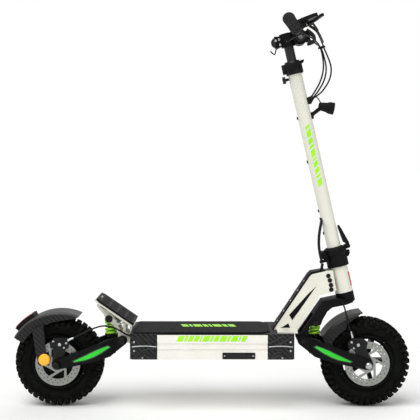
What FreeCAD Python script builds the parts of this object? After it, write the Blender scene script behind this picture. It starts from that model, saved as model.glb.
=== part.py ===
import FreeCAD, Part
import math
import os
import Sketcher
from FreeCAD import Placement, Rotation, Vector

# Electric kick scooter, millimetres. +X forward, +Y to the rider's left, +Z up.
# The origin is on the ground, midway between the two axles.

SIZES = {
    # wheels
    "wheelbase": 964,
    "tyre_radius": 140,
    "tyre_width": 90,
    "tread_width": 72,
    "tyre_wall": 7,
    "bead_radius": 84,
    "rim_width": 64,
    "rim_wall": 4,
    "spoke_count": 5,
    "spoke_width": 12,
    "hub_radius": 24,
    "hub_half": 44,
    "motor_radius": 72,
    "motor_half": 40,
    "stator_radius": 62,
    "stator_half": 17,
    "air_gap": 3,
    "axle_radius": 6,
    "spacer_radius": 10,
    "nut_radius": 10,
    "nut_height": 8,
    "running_gap": 0.05,
    "free_gap": 0.4,
    # brakes
    "rotor_radius": 70,
    "rotor_thick": 2,
    "rotor_y": 57,
    "rotor_band": 22,
    "rotor_hole": 1.8,
    "rotor_windows": 6,
    "caliper_half": 9,
    "caliper_slot": 4.4,
    # swing arms
    "arm_reach": 201,
    "arm_drop": 71,
    "arm_boss": 15,
    "arm_in_pivot": 44,
    "arm_in_axle": 66,
    "arm_thick": 16,
    "pivot_radius": 6,
    "pin_head": 3,
    "eye_reach": 40,
    "eye_drop": 4,
    "eye_pin": 4,
    "eye_clearance": 1,
    # shocks
    "spring_radius": 20,
    "spring_wall": 5,
    "shock_rod_radius": 6,
    "shock_tube_radius": 12,
    "front_shock_len": 58,
    "rear_shock_len": 74,
    # fenders
    "fender_radius": 160,
    "fender_wall": 3,
    "fender_half": 53,
    "skirt_radius": 126,
    # deck
    "deck_rear": -252,
    "deck_front": 251,
    "deck_width": 240,
    "deck_bottom": 165,
    "deck_height": 75,
    "deck_wall": 3,
    "deck_floor": 4,
    "lid_thick": 3.5,
    "mat_thick": 3.5,
    "panel_rear": -168,
    "panel_front": 169,
    "block_wall": 6,
    "groove_tall": 6,
    "groove_deep": 2,
    "battery_len": 300,
    "battery_width": 150,
    "battery_tall": 62,
    # neck
    "neck_half": 36,
    "plate_thick": 6,
    "cover_proud": 2,
    # footrest
    "foot_low_x": -241,
    "foot_low_z": 268,
    "foot_len": 140,
    "foot_angle": 34.4,
    "foot_width": 156,
    "foot_thick": 7,
    "bracket_half": 41,
    "bracket_thick": 18,
    # steering head, in the stem's own frame
    "head_x": 415.9,
    "head_z": 359,
    "stem_lean": 13.03,
    "head_len": 83,
    "head_radius": 28.2,
    "steerer_radius": 15,
    "bearing_radius": 24,
    "bearing_tall": 9,
    "crown_tall": 34,
    "crown_radius": 28.5,
    "fork_half": 42,
    "fork_thick": 20,
    "base_radius": 34,
    "flange_radius": 36.5,
    "fold_z": 132,
    "fold_back": 38.5,
    "knuckle_radius": 8,
    "knuckle_half": 13,
    "ear_half": 24,
    "fold_pin": 4,
    "latch_half": 9,
    "latch_pin": 3,
    # stem
    "stem_radius": 21.75,
    "stem_wall": 3,
    "stem_foot": 140,
    "stem_top": 710,
    "collar_foot": 700,
    "collar_top": 742,
    "collar_wall": 5,
    "lamp_x": 50.2,
    "lamp_z": 587.4,
    "lamp_pitch": 10,
    "plunger_z": 689,
    "inner_radius": 15,
    "inner_wall": 2.5,
    "inner_foot": 540,
    "inner_top": 825,
    # handlebar
    "head_foot": 788,
    "block_radius": 22,
    "clamp_x": 39,
    "clamp_z": 808,
    "clamp_radius": 23.5,
    "clamp_half": 26,
    "bar_sleeve": 15.9,
    "bar_radius": 11.1,
    "bar_half": 299,
    "bar_bend": 50,
    "bar_back": 49,
    "bar_rise": 30,
    "grip_radius": 18.3,
    "grip_len": 122,
    "pod_width": 26,
    "pod_y": 160,
    "lever_pivot": 42,
    "lever_len": 122,
    "lever_thick": 9,
    "perch_tilt": 20,
    "display_len": 62,
    "display_width": 84,
    "display_thick": 11,
    "display_x": 38,
    "display_z": 46,
    "display_tilt": 21,
    # kickstand
    "stand_x": -70,
    "stand_z": 182,
    "stand_len": 158,
    "stand_thick": 8,
    # cables
    "cable_radius": 2.5,
    "loom_radius": 4.5,
}


class Size:
    """A number together with the sheet formula that gives it."""

    def __init__(self, value, formula):
        self.value = float(value)
        self.formula = formula

    def joined(self, other, sign, value, swapped=False):
        left, right = (other, self) if swapped else (self, other)
        return Size(value, f"({as_size(left).formula} {sign} {as_size(right).formula})")

    def __add__(self, other):
        return self.joined(other, "+", self.value + number(other))

    def __radd__(self, other):
        return self.joined(other, "+", number(other) + self.value, True)

    def __sub__(self, other):
        return self.joined(other, "-", self.value - number(other))

    def __rsub__(self, other):
        return self.joined(other, "-", number(other) - self.value, True)

    def __mul__(self, other):
        return self.joined(other, "*", self.value * number(other))

    def __rmul__(self, other):
        return self.joined(other, "*", number(other) * self.value, True)

    def __truediv__(self, other):
        return self.joined(other, "/", self.value / number(other))

    def __neg__(self):
        return self * -1


def as_size(value):
    return value if isinstance(value, Size) else Size(value, f"({float(value)})")


def number(value):
    return value.value if isinstance(value, Size) else float(value)


def cosd(angle):
    return Size(math.cos(math.radians(number(angle))), f"cos({as_size(angle).formula})")


def sind(angle):
    return Size(math.sin(math.radians(number(angle))), f"sin({as_size(angle).formula})")


doc = FreeCAD.newDocument("kick_scooter")
sheet = doc.addObject("Spreadsheet::Sheet", "dims")
dim = {}
for row, (name, value) in enumerate(SIZES.items(), 1):
    sheet.set(f"A{row}", name)
    sheet.set(f"B{row}", str(value))
    sheet.setAlias(f"B{row}", name)
    dim[name] = Size(value, f"dims.{name}")
doc.recompute()


# ---------------------------------------------------------------- tools

class Circle:
    def __init__(self, x, y, radius):
        self.x, self.y, self.radius = as_size(x), as_size(y), as_size(radius)


class Arc:
    """A round stretch of an outline, from one angle to another, in degrees."""

    def __init__(self, x, y, radius, start, end):
        self.x, self.y, self.radius = as_size(x), as_size(y), as_size(radius)
        self.start, self.end = as_size(start), as_size(end)

    def point(self, angle):
        return self.x + self.radius * cosd(angle), self.y + self.radius * sind(angle)


def box(x0, x1, y0, y1):
    return [(x0, y0), (x1, y0), (x1, y1), (x0, y1)]


class Piece:
    """A PartDesign body whose features are all bound to the sheet."""

    def __init__(self, label):
        self.label = label
        self.body = doc.addObject("PartDesign::Body", label)
        self.body.Label = label
        self.planes = {item.Role: item for item in self.body.Origin.OriginFeatures}
        pieces[label] = self.body

    def place(self, x=0, y=0, z=0, axis=(0, 1, 0), angle=0):
        base = [as_size(x), as_size(y), as_size(z)]
        turn = as_size(angle)
        spot = Vector(*[size.value for size in base])
        self.body.Placement = Placement(spot, Rotation(Vector(*axis), turn.value))
        for letter, size in zip("xyz", base):
            self.body.setExpression(f"Placement.Base.{letter}", size.formula)
        if turn.value:
            self.body.setExpression("Placement.Rotation.Angle", turn.formula)
        return self

    def sketch(self, plane, loops, offset=0):
        sketch = self.body.newObject("Sketcher::SketchObject", f"{self.label}_sketch")
        sketch.AttachmentSupport = (self.planes[plane], [""])
        sketch.MapMode = "FlatFace"
        sign = -1 if plane == "XZ_Plane" else 1
        shift = as_size(offset) * sign
        sketch.AttachmentOffset = Placement(Vector(0, 0, shift.value), Rotation())
        sketch.setExpression("AttachmentOffset.Base.z", shift.formula)
        for loop in loops:
            if isinstance(loop, Circle):
                draw_circle(sketch, loop)
            else:
                draw_outline(sketch, loop)
        return sketch

    def slab(self, plane, loops, low, high, kind="Pad"):
        """Pad, or pocket, from one height to another along the plane's own axis."""
        low, high = as_size(low), as_size(high)
        sketch = self.sketch(plane, loops, (low + high) / 2)
        feature = self.body.newObject(f"PartDesign::{kind}", f"{self.label}_{kind}")
        feature.Profile = sketch
        feature.Midplane = True
        feature.setExpression("Length", (high - low).formula)
        sketch.Visibility = False
        return feature

    def cut(self, plane, loops, low, high):
        return self.slab(plane, loops, low, high, "Pocket")

    def turn(self, plane, loops, axis="V_Axis", angle=360, kind="Revolution"):
        sketch = self.sketch(plane, loops)
        feature = self.body.newObject(f"PartDesign::{kind}", f"{self.label}_{kind}")
        feature.Profile = sketch
        feature.ReferenceAxis = (sketch, [axis])
        feature.Reversed = True
        feature.Angle = number(angle)
        feature.setExpression("Angle", as_size(angle).formula)
        sketch.Visibility = False
        return feature

    def around(self, features, axis, count):
        pattern = self.body.newObject("PartDesign::PolarPattern", f"{self.label}_pattern")
        pattern.Originals = features
        pattern.Axis = (self.planes[axis], [""])
        pattern.Angle = 360
        pattern.Occurrences = int(number(count))
        pattern.setExpression("Occurrences", as_size(count).formula)
        self.body.Tip = pattern
        return pattern


def join(label, parts):
    """Put several pieces into one node, as separate solids of one group."""
    group = doc.addObject("Part::Compound", label)
    group.Label = label
    group.Links = [part.body for part in parts]
    for part in parts:
        pieces.pop(part.label)
    pieces[label] = group


def fix(sketch, geo, point, along, size):
    index = sketch.addConstraint(Sketcher.Constraint(f"Distance{along}", -1, 1, geo, point, size.value))
    sketch.setExpression(f"Constraints[{index}]", size.formula)


def fix_radius(sketch, geo, size):
    index = sketch.addConstraint(Sketcher.Constraint("Radius", geo, size.value))
    sketch.setExpression(f"Constraints[{index}]", size.formula)


def draw_circle(sketch, circle):
    centre = Vector(circle.x.value, circle.y.value, 0)
    geo = sketch.addGeometry(Part.Circle(centre, Vector(0, 0, 1), circle.radius.value), False)
    fix_radius(sketch, geo, circle.radius)
    fix(sketch, geo, 3, "X", circle.x)
    fix(sketch, geo, 3, "Y", circle.y)


def draw_arc(sketch, arc):
    """Add the arc; give back the handles of its first and last points."""
    centre = Vector(arc.x.value, arc.y.value, 0)
    angles = [math.radians(arc.start.value), math.radians(arc.end.value)]
    circle = Part.Circle(centre, Vector(0, 0, 1), arc.radius.value)
    geo = sketch.addGeometry(Part.ArcOfCircle(circle, min(angles), max(angles)), False)
    fix(sketch, geo, 3, "X", arc.x)
    fix(sketch, geo, 3, "Y", arc.y)
    fix_radius(sketch, geo, arc.radius)
    forward = arc.start.value < arc.end.value
    handles = [(geo, 1 if forward else 2), (geo, 2 if forward else 1)]
    for (_, point), angle in zip(handles, (arc.start, arc.end)):
        steep = abs(math.sin(math.radians(angle.value))) > math.sqrt(0.5)
        spot = arc.point(angle)
        fix(sketch, geo, point, "X" if steep else "Y", as_size(spot[0] if steep else spot[1]))
    return handles


def draw_outline(sketch, steps):
    """A closed outline: lines join its steps, which are corners (x, y) or arcs."""
    ends = []
    for step in steps:
        if isinstance(step, Arc):
            handles = draw_arc(sketch, step)
            ends.append((step.point(step.start), step.point(step.end), handles))
        else:
            corner = (as_size(step[0]), as_size(step[1]))
            ends.append((corner, corner, None))
    lines = []
    for here, there in zip(ends, ends[1:] + ends[:1]):
        start = Vector(number(here[1][0]), number(here[1][1]), 0)
        end = Vector(number(there[0][0]), number(there[0][1]), 0)
        lines.append(sketch.addGeometry(Part.LineSegment(start, end), False))
    for index, (first, last, handles) in enumerate(ends):
        before, after = lines[index - 1], lines[index]
        if handles:
            sketch.addConstraint(Sketcher.Constraint("Coincident", before, 2, *handles[0]))
            sketch.addConstraint(Sketcher.Constraint("Coincident", after, 1, *handles[1]))
        else:
            sketch.addConstraint(Sketcher.Constraint("Coincident", before, 2, after, 1))
            fix(sketch, after, 1, "X", first[0])
            fix(sketch, after, 1, "Y", first[1])


pieces = {}


def rounded_path(points, share=0.45):
    """Straight runs joined by tangent arcs, each arc as large as its two runs allow."""
    spots = [Vector(*point) for point in points]
    edges, start, radii = [], spots[0], []
    for before, corner, after in zip(spots, spots[1:], spots[2:]):
        back, ahead = (before - corner), (after - corner)
        reach = share * min(back.Length, ahead.Length)
        half_turn = (math.pi - back.getAngle(ahead)) / 2
        radius = reach / math.tan(half_turn)
        back.normalize()
        ahead.normalize()
        middle = (back + ahead).normalize()
        entry = corner + back * reach
        leave = corner + ahead * reach
        centre = corner + middle * (radius / math.cos(half_turn))
        top = centre - middle * radius
        edges.append(Part.LineSegment(start, entry).toShape())
        edges.append(Part.Arc(entry, top, leave).toShape())
        radii.append(radius)
        start = leave
    edges.append(Part.LineSegment(start, spots[-1]).toShape())
    return Part.Wire(edges), radii


def tube_along(points, radius, share=0.45):
    """A round bar along a rounded path, as one solid."""
    path, radii = rounded_path(points, share)
    first = path.Edges[0]
    direction = first.tangentAt(first.FirstParameter)
    loop = Part.Wire(Part.makeCircle(radius, Vector(*points[0]), direction))
    shape = path.makePipeShell([loop], True, False)
    solid = shape if shape.ShapeType == "Solid" else shape.Solids[0]
    error = abs(solid.Volume / (math.pi * radius ** 2 * path.Length) - 1)
    return solid, radii, error


def cable(label, routes, radius):
    """Cables that the scooter holds all the way, as plain round bars in one node."""
    solids = []
    for route in routes:
        solid, radii, error = tube_along(route, radius)
        print(f"{label}: smallest bend {min(radii):.1f} mm, volume error {error:.4f}")
        solids.append(solid)
    feature = doc.addObject("Part::Feature", label)
    feature.Label = label
    feature.Shape = solids[0] if len(solids) == 1 else Part.makeCompound(solids)
    pieces[label] = feature


# ---------------------------------------------------------------- derived places

front_x = dim["wheelbase"] / 2
rear_x = -front_x
axle_z = dim["tyre_radius"]
pivot_z = axle_z + dim["arm_drop"]
front_pivot_x = front_x - dim["arm_reach"]
rear_pivot_x = -front_pivot_x
deck_top = dim["deck_bottom"] + dim["deck_height"]
lid_top = deck_top + dim["lid_thick"]
mat_top = lid_top + dim["mat_thick"]
deck_half = dim["deck_width"] / 2
display_turn = dim["display_tilt"] - dim["stem_lean"]
ENDS = {"front": (front_x, front_pivot_x, 1), "rear": (rear_x, rear_pivot_x, -1)}


def stem_spot(x, y, z):
    """A point of the stem's leaning frame, in the scooter's own frame."""
    lean = dim["stem_lean"]
    return (dim["head_x"] + x * cosd(lean) - z * sind(lean), y,
            dim["head_z"] + x * sind(lean) + z * cosd(lean))


def stem_point(x, y, z):
    return tuple(number(size) for size in stem_spot(x, y, z))


def stem_place(piece, x=0, y=0, z=0):
    """Stand a piece in the stem's frame, whose Z runs up the steering axis."""
    return piece.place(*stem_spot(x, y, z), angle=-dim["stem_lean"])


# ---------------------------------------------------------------- wheels

def make_tyre(end):
    axle_x = ENDS[end][0]
    top, bead, wall = dim["tyre_radius"], dim["bead_radius"], dim["tyre_wall"]
    half, tread, seat = dim["tyre_width"] / 2, dim["tread_width"] / 2, dim["rim_width"] / 2
    side = bead + (top - bead) * 0.62
    outer = [(bead, -seat), (side, -half), (top - wall, -half), (top, -tread),
             (top, tread), (top - wall, half), (side, half), (bead, seat)]
    inner = [(bead, seat - wall), (side, half - wall), (top - wall * 1.5, half - wall * 1.5),
             (top - wall * 1.5, wall * 1.5 - half), (side, wall - half), (bead, wall - seat)]
    tyre = Piece(f"{end}_tyre")
    tyre.turn("XY_Plane", [outer + inner])
    tyre.place(axle_x, 0, axle_z)


def rim_outline(inner_radius):
    """Half section of the rim: a channel under the tyre, with a lip at each side."""
    bead, seat, wall = dim["bead_radius"], dim["rim_width"] / 2, dim["rim_wall"]
    well = bead - wall * 2
    return [(bead, -seat), (bead, -seat + wall), (well, -seat + wall * 2),
            (well, seat - wall * 2), (bead, seat - wall), (bead, seat),
            (bead - wall, seat), (inner_radius, seat - wall * 2),
            (inner_radius, -seat + wall * 2), (bead - wall, -seat)]


def make_front_hub():
    hub = Piece("front_hub")
    well = dim["bead_radius"] - dim["rim_wall"] * 3
    hub.turn("XY_Plane", [rim_outline(well)])
    core, half = dim["hub_radius"], dim["hub_half"]
    bore = dim["axle_radius"] + dim["running_gap"]
    seat = dim["rotor_y"] - dim["rotor_thick"] / 2
    hub.turn("XY_Plane", [[(bore, -seat), (core * 0.8, -seat), (core, -half),
                           (core, half), (bore, half)]])
    spoke = hub.slab("XZ_Plane", [box(core - 1, well + 1, -dim["spoke_width"] / 2,
                                      dim["spoke_width"] / 2)],
                     -dim["hub_half"] * 0.45, dim["hub_half"] * 0.45)
    hub.around([spoke], "Y_Axis", dim["spoke_count"])
    hub.place(front_x, 0, axle_z)


def make_rear_hub():
    hub = Piece("rear_hub")
    shell, half = dim["motor_radius"], dim["motor_half"]
    wall = dim["rim_wall"]
    hub.turn("XY_Plane", [rim_outline(shell)])
    bore = dim["axle_radius"] + dim["running_gap"]
    room = dim["stator_radius"] + dim["air_gap"]
    deep = dim["stator_half"] + dim["air_gap"]
    seat = dim["rotor_y"] - dim["rotor_thick"] / 2
    core = dim["hub_radius"]
    hub.turn("XY_Plane", [[(bore, -seat), (core * 0.8, -seat), (core, -half),
                           (shell - wall * 2, -half), (shell + 1, -half * 0.6),
                           (shell + 1, half * 0.6), (shell - wall * 2, half),
                           (bore, half), (bore, deep), (room, deep),
                           (room, -deep), (bore, -deep)]])
    hub.place(rear_x, 0, axle_z)


def make_axle(end):
    """The axle, its nuts and the spacers that hold the wheel between the arm's legs."""
    axle = Piece(f"{end}_axle")
    radius, nut, spacer = dim["axle_radius"], dim["nut_radius"], dim["spacer_radius"]
    inner, outer = dim["arm_in_axle"], dim["arm_in_axle"] + dim["arm_thick"]
    gap = dim["free_gap"]
    near = dim["rotor_y"] + dim["rotor_thick"] / 2 + gap * 2
    far = (dim["hub_half"] if end == "front" else dim["motor_half"]) + gap
    steps = [(0, -outer - dim["nut_height"]), (nut, -outer - dim["nut_height"]), (nut, -outer),
             (radius, -outer), (radius, -inner), (spacer, -inner), (spacer, -near), (radius, -near)]
    if end == "rear":
        half, room = dim["stator_half"], dim["stator_radius"]
        steps += [(radius, -half), (room, -half), (room, half), (radius, half)]
    steps += [(radius, far), (spacer, far), (spacer, inner), (radius, inner), (radius, outer),
              (nut, outer), (nut, outer + dim["nut_height"]), (0, outer + dim["nut_height"])]
    axle.turn("XY_Plane", [steps])
    axle.place(ENDS[end][0], 0, axle_z)


def make_rotor(end):
    rotor = Piece(f"{end}_rotor")
    radius, band, hole = dim["rotor_radius"], dim["rotor_band"], dim["rotor_hole"]
    half = dim["rotor_thick"] / 2
    bore = dim["hub_radius"] * 0.8 - 6
    rotor.slab("XZ_Plane", [Circle(0, 0, radius), Circle(0, 0, bore)],
               -dim["rotor_y"] - half, -dim["rotor_y"] + half)
    inner, outer = dim["hub_radius"] + 4, radius - band
    window = [Arc(0, 0, outer, 5, 54), (inner * cosd(76), inner * sind(76)),
              (inner * cosd(41), inner * sind(41))]
    opening = rotor.cut("XZ_Plane", [window], -dim["rotor_y"] - 2, -dim["rotor_y"] + 2)
    rotor.around([opening], "Y_Axis", dim["rotor_windows"])
    rings = [(radius - band * 0.38, 0), (radius - band * 0.75, 7.5)]
    holes = [Circle(reach * cosd(turn), reach * sind(turn), hole) for reach, turn in rings]
    drilled = rotor.cut("XZ_Plane", holes, -dim["rotor_y"] - 2, -dim["rotor_y"] + 2)
    rotor.around([drilled], "Y_Axis", 24)
    rotor.place(ENDS[end][0], 0, axle_z)


# ---------------------------------------------------------------- swing arms and shocks

def make_arm(end):
    """A two-legged arm: its side view padded across, then cut to its plan view."""
    _, pivot_x, forward = ENDS[end]
    reach, drop, boss = dim["arm_reach"], dim["arm_drop"], dim["arm_boss"]
    near, far, thick = dim["arm_in_pivot"], dim["arm_in_axle"], dim["arm_thick"]
    arm = Piece(f"{end}_arm")
    side = [Arc(0, 0, boss, 215, 50), (36, 8), Arc(reach, -drop, boss, 66, -104),
            (reach - 110, 8 - drop), (36, -47)]
    arm.slab("XZ_Plane", [side], -far - thick, far + thick)
    splay, turn = 25, 71
    inside = [(-boss - 2, -near), (splay, -near), (turn, -far), (reach + boss + 2, -far),
              (reach + boss + 2, far), (turn, far), (splay, near), (-boss - 2, near)]
    arm.cut("XY_Plane", [inside], -drop - boss - 10, boss + 10)
    for sign in (-1, 1):
        outside = [(-boss - 2, sign * (near + thick)), (splay - 6, sign * (near + thick)),
                   (turn - 6, sign * (far + thick)), (turn - 6, sign * (far + thick + 2)),
                   (-boss - 2, sign * (far + thick + 2))]
        arm.cut("XY_Plane", [outside], -drop - boss - 10, boss + 10)
    eye_x, eye_z = dim["eye_reach"], -dim["eye_drop"]
    arm.slab("XZ_Plane", [box(22, eye_x + 10, -40, -16)], -near - 8, near + 8)
    for sign in (-1, 1):
        low = dim["spring_radius"] * 0.4 if sign > 0 else -dim["spring_radius"] * 0.7
        high = dim["spring_radius"] * 0.7 if sign > 0 else -dim["spring_radius"] * 0.4
        ear = [(eye_x - 6.5, -18), (eye_x + 6.5, -18), Arc(eye_x, eye_z, 6.5, 0, 180)]
        arm.slab("XZ_Plane", [ear], low, high)
    arm.slab("XZ_Plane", [Circle(eye_x, eye_z, dim["eye_pin"])],
             -dim["spring_radius"] * 0.7, dim["spring_radius"] * 0.7)
    bore = dim["pivot_radius"] + dim["running_gap"]
    arm.cut("XZ_Plane", [Circle(0, 0, bore)], -far - thick, far + thick)
    arm.cut("XZ_Plane", [Circle(reach, -drop, dim["axle_radius"])], -far - thick, far + thick)
    arm.place(pivot_x, 0, pivot_z, axis=(0, 0, 1), angle=0 if forward > 0 else 180)


def shock_places(end):
    _, pivot_x, forward = ENDS[end]
    return pivot_x + dim["eye_reach"] * forward, pivot_z - dim["eye_drop"], dim[f"{end}_shock_len"]


def make_shock(end):
    """A coil-over shock: an upper tube with its eye, a rod with its eye, and the spring."""
    foot_x, foot_z, length = shock_places(end)
    rod, tube, pin = dim["shock_rod_radius"], dim["shock_tube_radius"], dim["eye_pin"]
    coil, wall, gap = dim["spring_radius"], dim["spring_wall"], dim["free_gap"]
    eye = pin + 4
    upper = Piece(f"{end}_shock_body")
    bore = rod + dim["running_gap"]
    upper.turn("XZ_Plane", [[(0, length - 6), (coil, length - 6), (coil, length - 10),
                             (tube, length - 10), (tube, length * 0.48), (bore, length * 0.48),
                             (bore, length - 12), (0, length - 12)]])
    upper.slab("XZ_Plane", [[(-eye, length - 8), (eye, length - 8), Arc(0, length, eye, 0, 180)]],
               -6, 6)
    upper.slab("XZ_Plane", [Circle(0, length, pin)], -27, 27)
    upper.place(foot_x, 0, foot_z)
    lower = Piece(f"{end}_shock_rod")
    lower.turn("XZ_Plane", [[(0, 4), (coil, 4 + eye), (coil, 8 + eye), (rod, 8 + eye),
                             (rod, length - 12 - length * 0.18), (0, length - 12 - length * 0.18)]])
    lower.slab("XZ_Plane", [[Arc(0, 0, eye, 180, 360), (eye, eye), (-eye, eye)]], -6, 6)
    lower.cut("XZ_Plane", [Circle(0, 0, pin + dim["eye_clearance"])], -8, 8)
    lower.place(foot_x, 0, foot_z)
    spring = Piece(f"{end}_spring")
    spring.turn("XZ_Plane", [box(coil - wall, coil, 8 + eye + gap, length - 10 - gap)])
    spring.place(foot_x, 0, foot_z)


# ---------------------------------------------------------------- brakes

CALIPER = {"front": (-30, 61), "rear": (8, 62)}


def make_caliper(end):
    """The body straddles the rotor's edge and its carrier plate reaches down to the axle."""
    axle_x = ENDS[end][0]
    mid_x, mid_z = CALIPER[end]
    slot, wide = dim["caliper_slot"] / 2, dim["caliper_half"]
    mid_y = -dim["rotor_y"]
    caliper = Piece(f"{end}_caliper")
    block = [(mid_x - 30, mid_z - 12), (mid_x + 26, mid_z - 14), (mid_x + 30, mid_z + 8),
             (mid_x + 16, mid_z + 20), (mid_x - 18, mid_z + 20), (mid_x - 32, mid_z + 6)]
    caliper.slab("XZ_Plane", [block], mid_y - wide, mid_y + wide)
    caliper.cut("XZ_Plane", [Circle(0, 0, dim["rotor_radius"] + 3)], mid_y - slot, mid_y + slot)
    plate = [(mid_x - 22, mid_z - 6), (mid_x + 22, mid_z - 6),
             Arc(0, 0, dim["spacer_radius"] + 8, 30, -210)]
    near = dim["arm_in_axle"]
    caliper.slab("XZ_Plane", [plate], -near, -near + 4)
    caliper.cut("XZ_Plane", [Circle(0, 0, dim["spacer_radius"])], -near, -near + 4)
    caliper.place(axle_x, 0, axle_z)


def make_caliper_arm(end):
    """The cam lever on the caliper that the cable pulls."""
    axle_x = ENDS[end][0]
    mid_x, mid_z = CALIPER[end]
    away = -1 if end == "front" else 1
    face = dim["rotor_y"] + dim["caliper_half"] + dim["free_gap"]
    lever = Piece(f"{end}_caliper_arm")
    tip_x, tip_z = away * (14 if away < 0 else 24), 16
    hub = Arc(0, 0, 8, 180, 360)
    shape = [hub, (7, 5), (tip_x + 4, tip_z + 5), (tip_x - 5, tip_z + 3), (-8, 5)]
    if away > 0:
        shape = [hub, (tip_x + 5, tip_z + 3), (tip_x - 4, tip_z + 5), (-8, 5)]
    lever.slab("XZ_Plane", [shape], -face - 4, -face)
    lever.place(axle_x + mid_x, 0, axle_z + mid_z)


# ---------------------------------------------------------------- fenders and tail light

FENDER_ARC = {"front": (95, 150), "rear": (66, 150)}


def swung(points, angle):
    """The same points, seen from a frame that is turned by the angle."""
    return [(x * cosd(angle) + z * sind(angle), z * cosd(angle) - x * sind(angle))
            for x, z in points]


def make_fender(end):
    """An arched shell with side skirts, on two legs."""
    start, finish = FENDER_ARC[end]
    top, wall, half = dim["fender_radius"], dim["fender_wall"], dim["fender_half"]
    skirt, bend = dim["skirt_radius"], 8
    fender = Piece(f"{end}_fender")
    fender.turn("XY_Plane", [[(skirt, -half), (top - bend, -half), (top, bend - half),
                              (top, half - bend), (top - bend, half), (skirt, half),
                              (skirt, half - wall), (top - bend, half - wall),
                              (top - wall, half - bend), (top - wall, bend - half),
                              (top - bend, wall - half), (skirt, wall - half)]],
                angle=finish - start)
    if end == "front":
        leg = [(-138, 80), (-112, 72), (-106, 52), (-128, 60)]
        outer, inner = dim["arm_in_axle"], half - wall
        trim = [(-19, 155), (-62, 124), (-70, 96), (20, 96), (20, 155)]
    else:
        leg = [(-78, 106), (-44, 122), (-40, 88), (-36, 36), (-24, 18), (-30, -4), (-58, -4), (-67, 33)]
        outer, inner = dim["arm_in_axle"] - 0.5, half - wall
        trim = [(72, 146), (52, 139.5), (5, 133), (-26, 126), (-34, 100), (90, 90), (96, 130)]
    for low, high in ((-outer, -inner), (inner, outer)):
        fender.slab("XZ_Plane", [swung(leg, start)], low, high)
    if end == "rear":
        thin = dim["rotor_y"] + dim["rotor_thick"] + 2
        fender.cut("XZ_Plane", [Circle(0, 0, dim["rotor_radius"] + 8)], -thin, thin)
    fender.cut("XZ_Plane", [swung(trim, start)], -half - 1, half + 1)
    fender.place(ENDS[end][0], 0, axle_z, angle=-start)


def make_tail_light():
    start, finish = 118, 142
    light = Piece("tail_light")
    low = dim["fender_radius"]
    light.turn("XY_Plane", [box(low, low + 13, -34, 34)], angle=finish - start)
    light.place(rear_x, 0, axle_z, angle=-start)


# ---------------------------------------------------------------- deck

def make_deck_frame():
    """The extruded tray: wider where its side walls show between the corner blocks."""
    frame = Piece("deck_frame")
    rear, front = dim["deck_rear"] + dim["block_wall"], dim["deck_front"] - dim["block_wall"]
    wide, slim = deck_half, deck_half - dim["block_wall"]
    back, fore = dim["panel_rear"], dim["panel_front"]
    plan = [(rear, -slim), (back, -slim), (back, -wide), (fore, -wide), (fore, -slim),
            (front, -slim), (front, slim), (fore, slim), (fore, wide), (back, wide),
            (back, slim), (rear, slim)]
    frame.slab("XY_Plane", [plan], dim["deck_bottom"], deck_top)
    wall = dim["deck_wall"]
    frame.cut("XY_Plane", [box(rear + wall, front - wall, wall - slim, slim - wall)],
              dim["deck_bottom"] + dim["deck_floor"], deck_top + 1)
    for share in (0.39, 0.62):
        low = dim["deck_bottom"] + dim["deck_height"] * share - dim["groove_tall"] / 2
        for sign in (-1, 1):
            near = wide - dim["groove_deep"] if sign > 0 else -wide - 1
            far = wide + 1 if sign > 0 else dim["groove_deep"] - wide
            frame.cut("YZ_Plane", [box(near, far, low, low + dim["groove_tall"])], back, fore)
    post = dim["stand_z"]
    frame.slab("XZ_Plane", [Circle(dim["stand_x"], post, 11)], wide - 2, wide + 2)
    frame.slab("XZ_Plane", [Circle(dim["stand_x"], post, 4)], wide, wide + 4 + dim["stand_thick"])


def make_deck_top():
    gap, half = dim["block_wall"], deck_half - dim["block_wall"]
    lid = Piece("deck_lid")
    lid.slab("XY_Plane", [box(dim["deck_rear"] + gap, dim["deck_front"] - gap, -half, half)],
             deck_top, lid_top)
    mat = Piece("deck_mat")
    mat.slab("XY_Plane", [[(-238, -half + 6), (150, -half + 6), (178, -half + 34),
                           (178, half - 34), (150, half - 6), (-238, half - 6)]],
             lid_top, mat_top)


def make_corner_blocks():
    """Two moulded caps that wrap the ends of the deck."""
    blocks = Piece("corner_blocks")
    half, wall, soft = deck_half, dim["block_wall"], dim["block_wall"] + 2
    for tip, back, sign in ((dim["deck_front"], dim["panel_front"], 1),
                            (dim["deck_rear"], dim["panel_rear"], -1)):
        edge = tip - wall * sign
        plan = [(back, -half), (tip - soft * sign, -half), (tip, soft - half),
                (tip, half - soft), (tip - soft * sign, half), (back, half),
                (back, half - wall), (edge, half - wall), (edge, wall - half), (back, wall - half)]
        blocks.slab("XY_Plane", [plan], dim["deck_bottom"], lid_top)


def make_deck_inside():
    floor = dim["deck_bottom"] + dim["deck_floor"]
    half = dim["battery_width"] / 2
    battery = Piece("battery_pack")
    middle = -40
    battery.slab("XY_Plane", [box(middle - dim["battery_len"] / 2, middle + dim["battery_len"] / 2,
                                  -half, half)], floor, floor + dim["battery_tall"])
    control = Piece("motor_controller")
    start = middle + dim["battery_len"] / 2 + 16
    control.slab("XY_Plane", [box(start, start + 84, -46, 46)], floor, floor + 40)


# ---------------------------------------------------------------- neck and steering head

def bore_on_stem_axis(piece, radius):
    """Clear the space of a round piece that stands on the steering axis."""
    bore = piece.body.newObject("PartDesign::SubtractiveCylinder", f"{piece.label}_bore")
    bore.AttachmentSupport = (piece.planes["XY_Plane"], [""])
    bore.MapMode = "FlatFace"
    turn = Rotation(Vector(0, 1, 0), -number(dim["stem_lean"]))
    bore.AttachmentOffset = Placement(Vector(*stem_point(0, 0, -50)), turn)
    bore.setExpression("Radius", radius.formula)
    bore.setExpression("Height", (dim["head_len"] + 80).formula)


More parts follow.
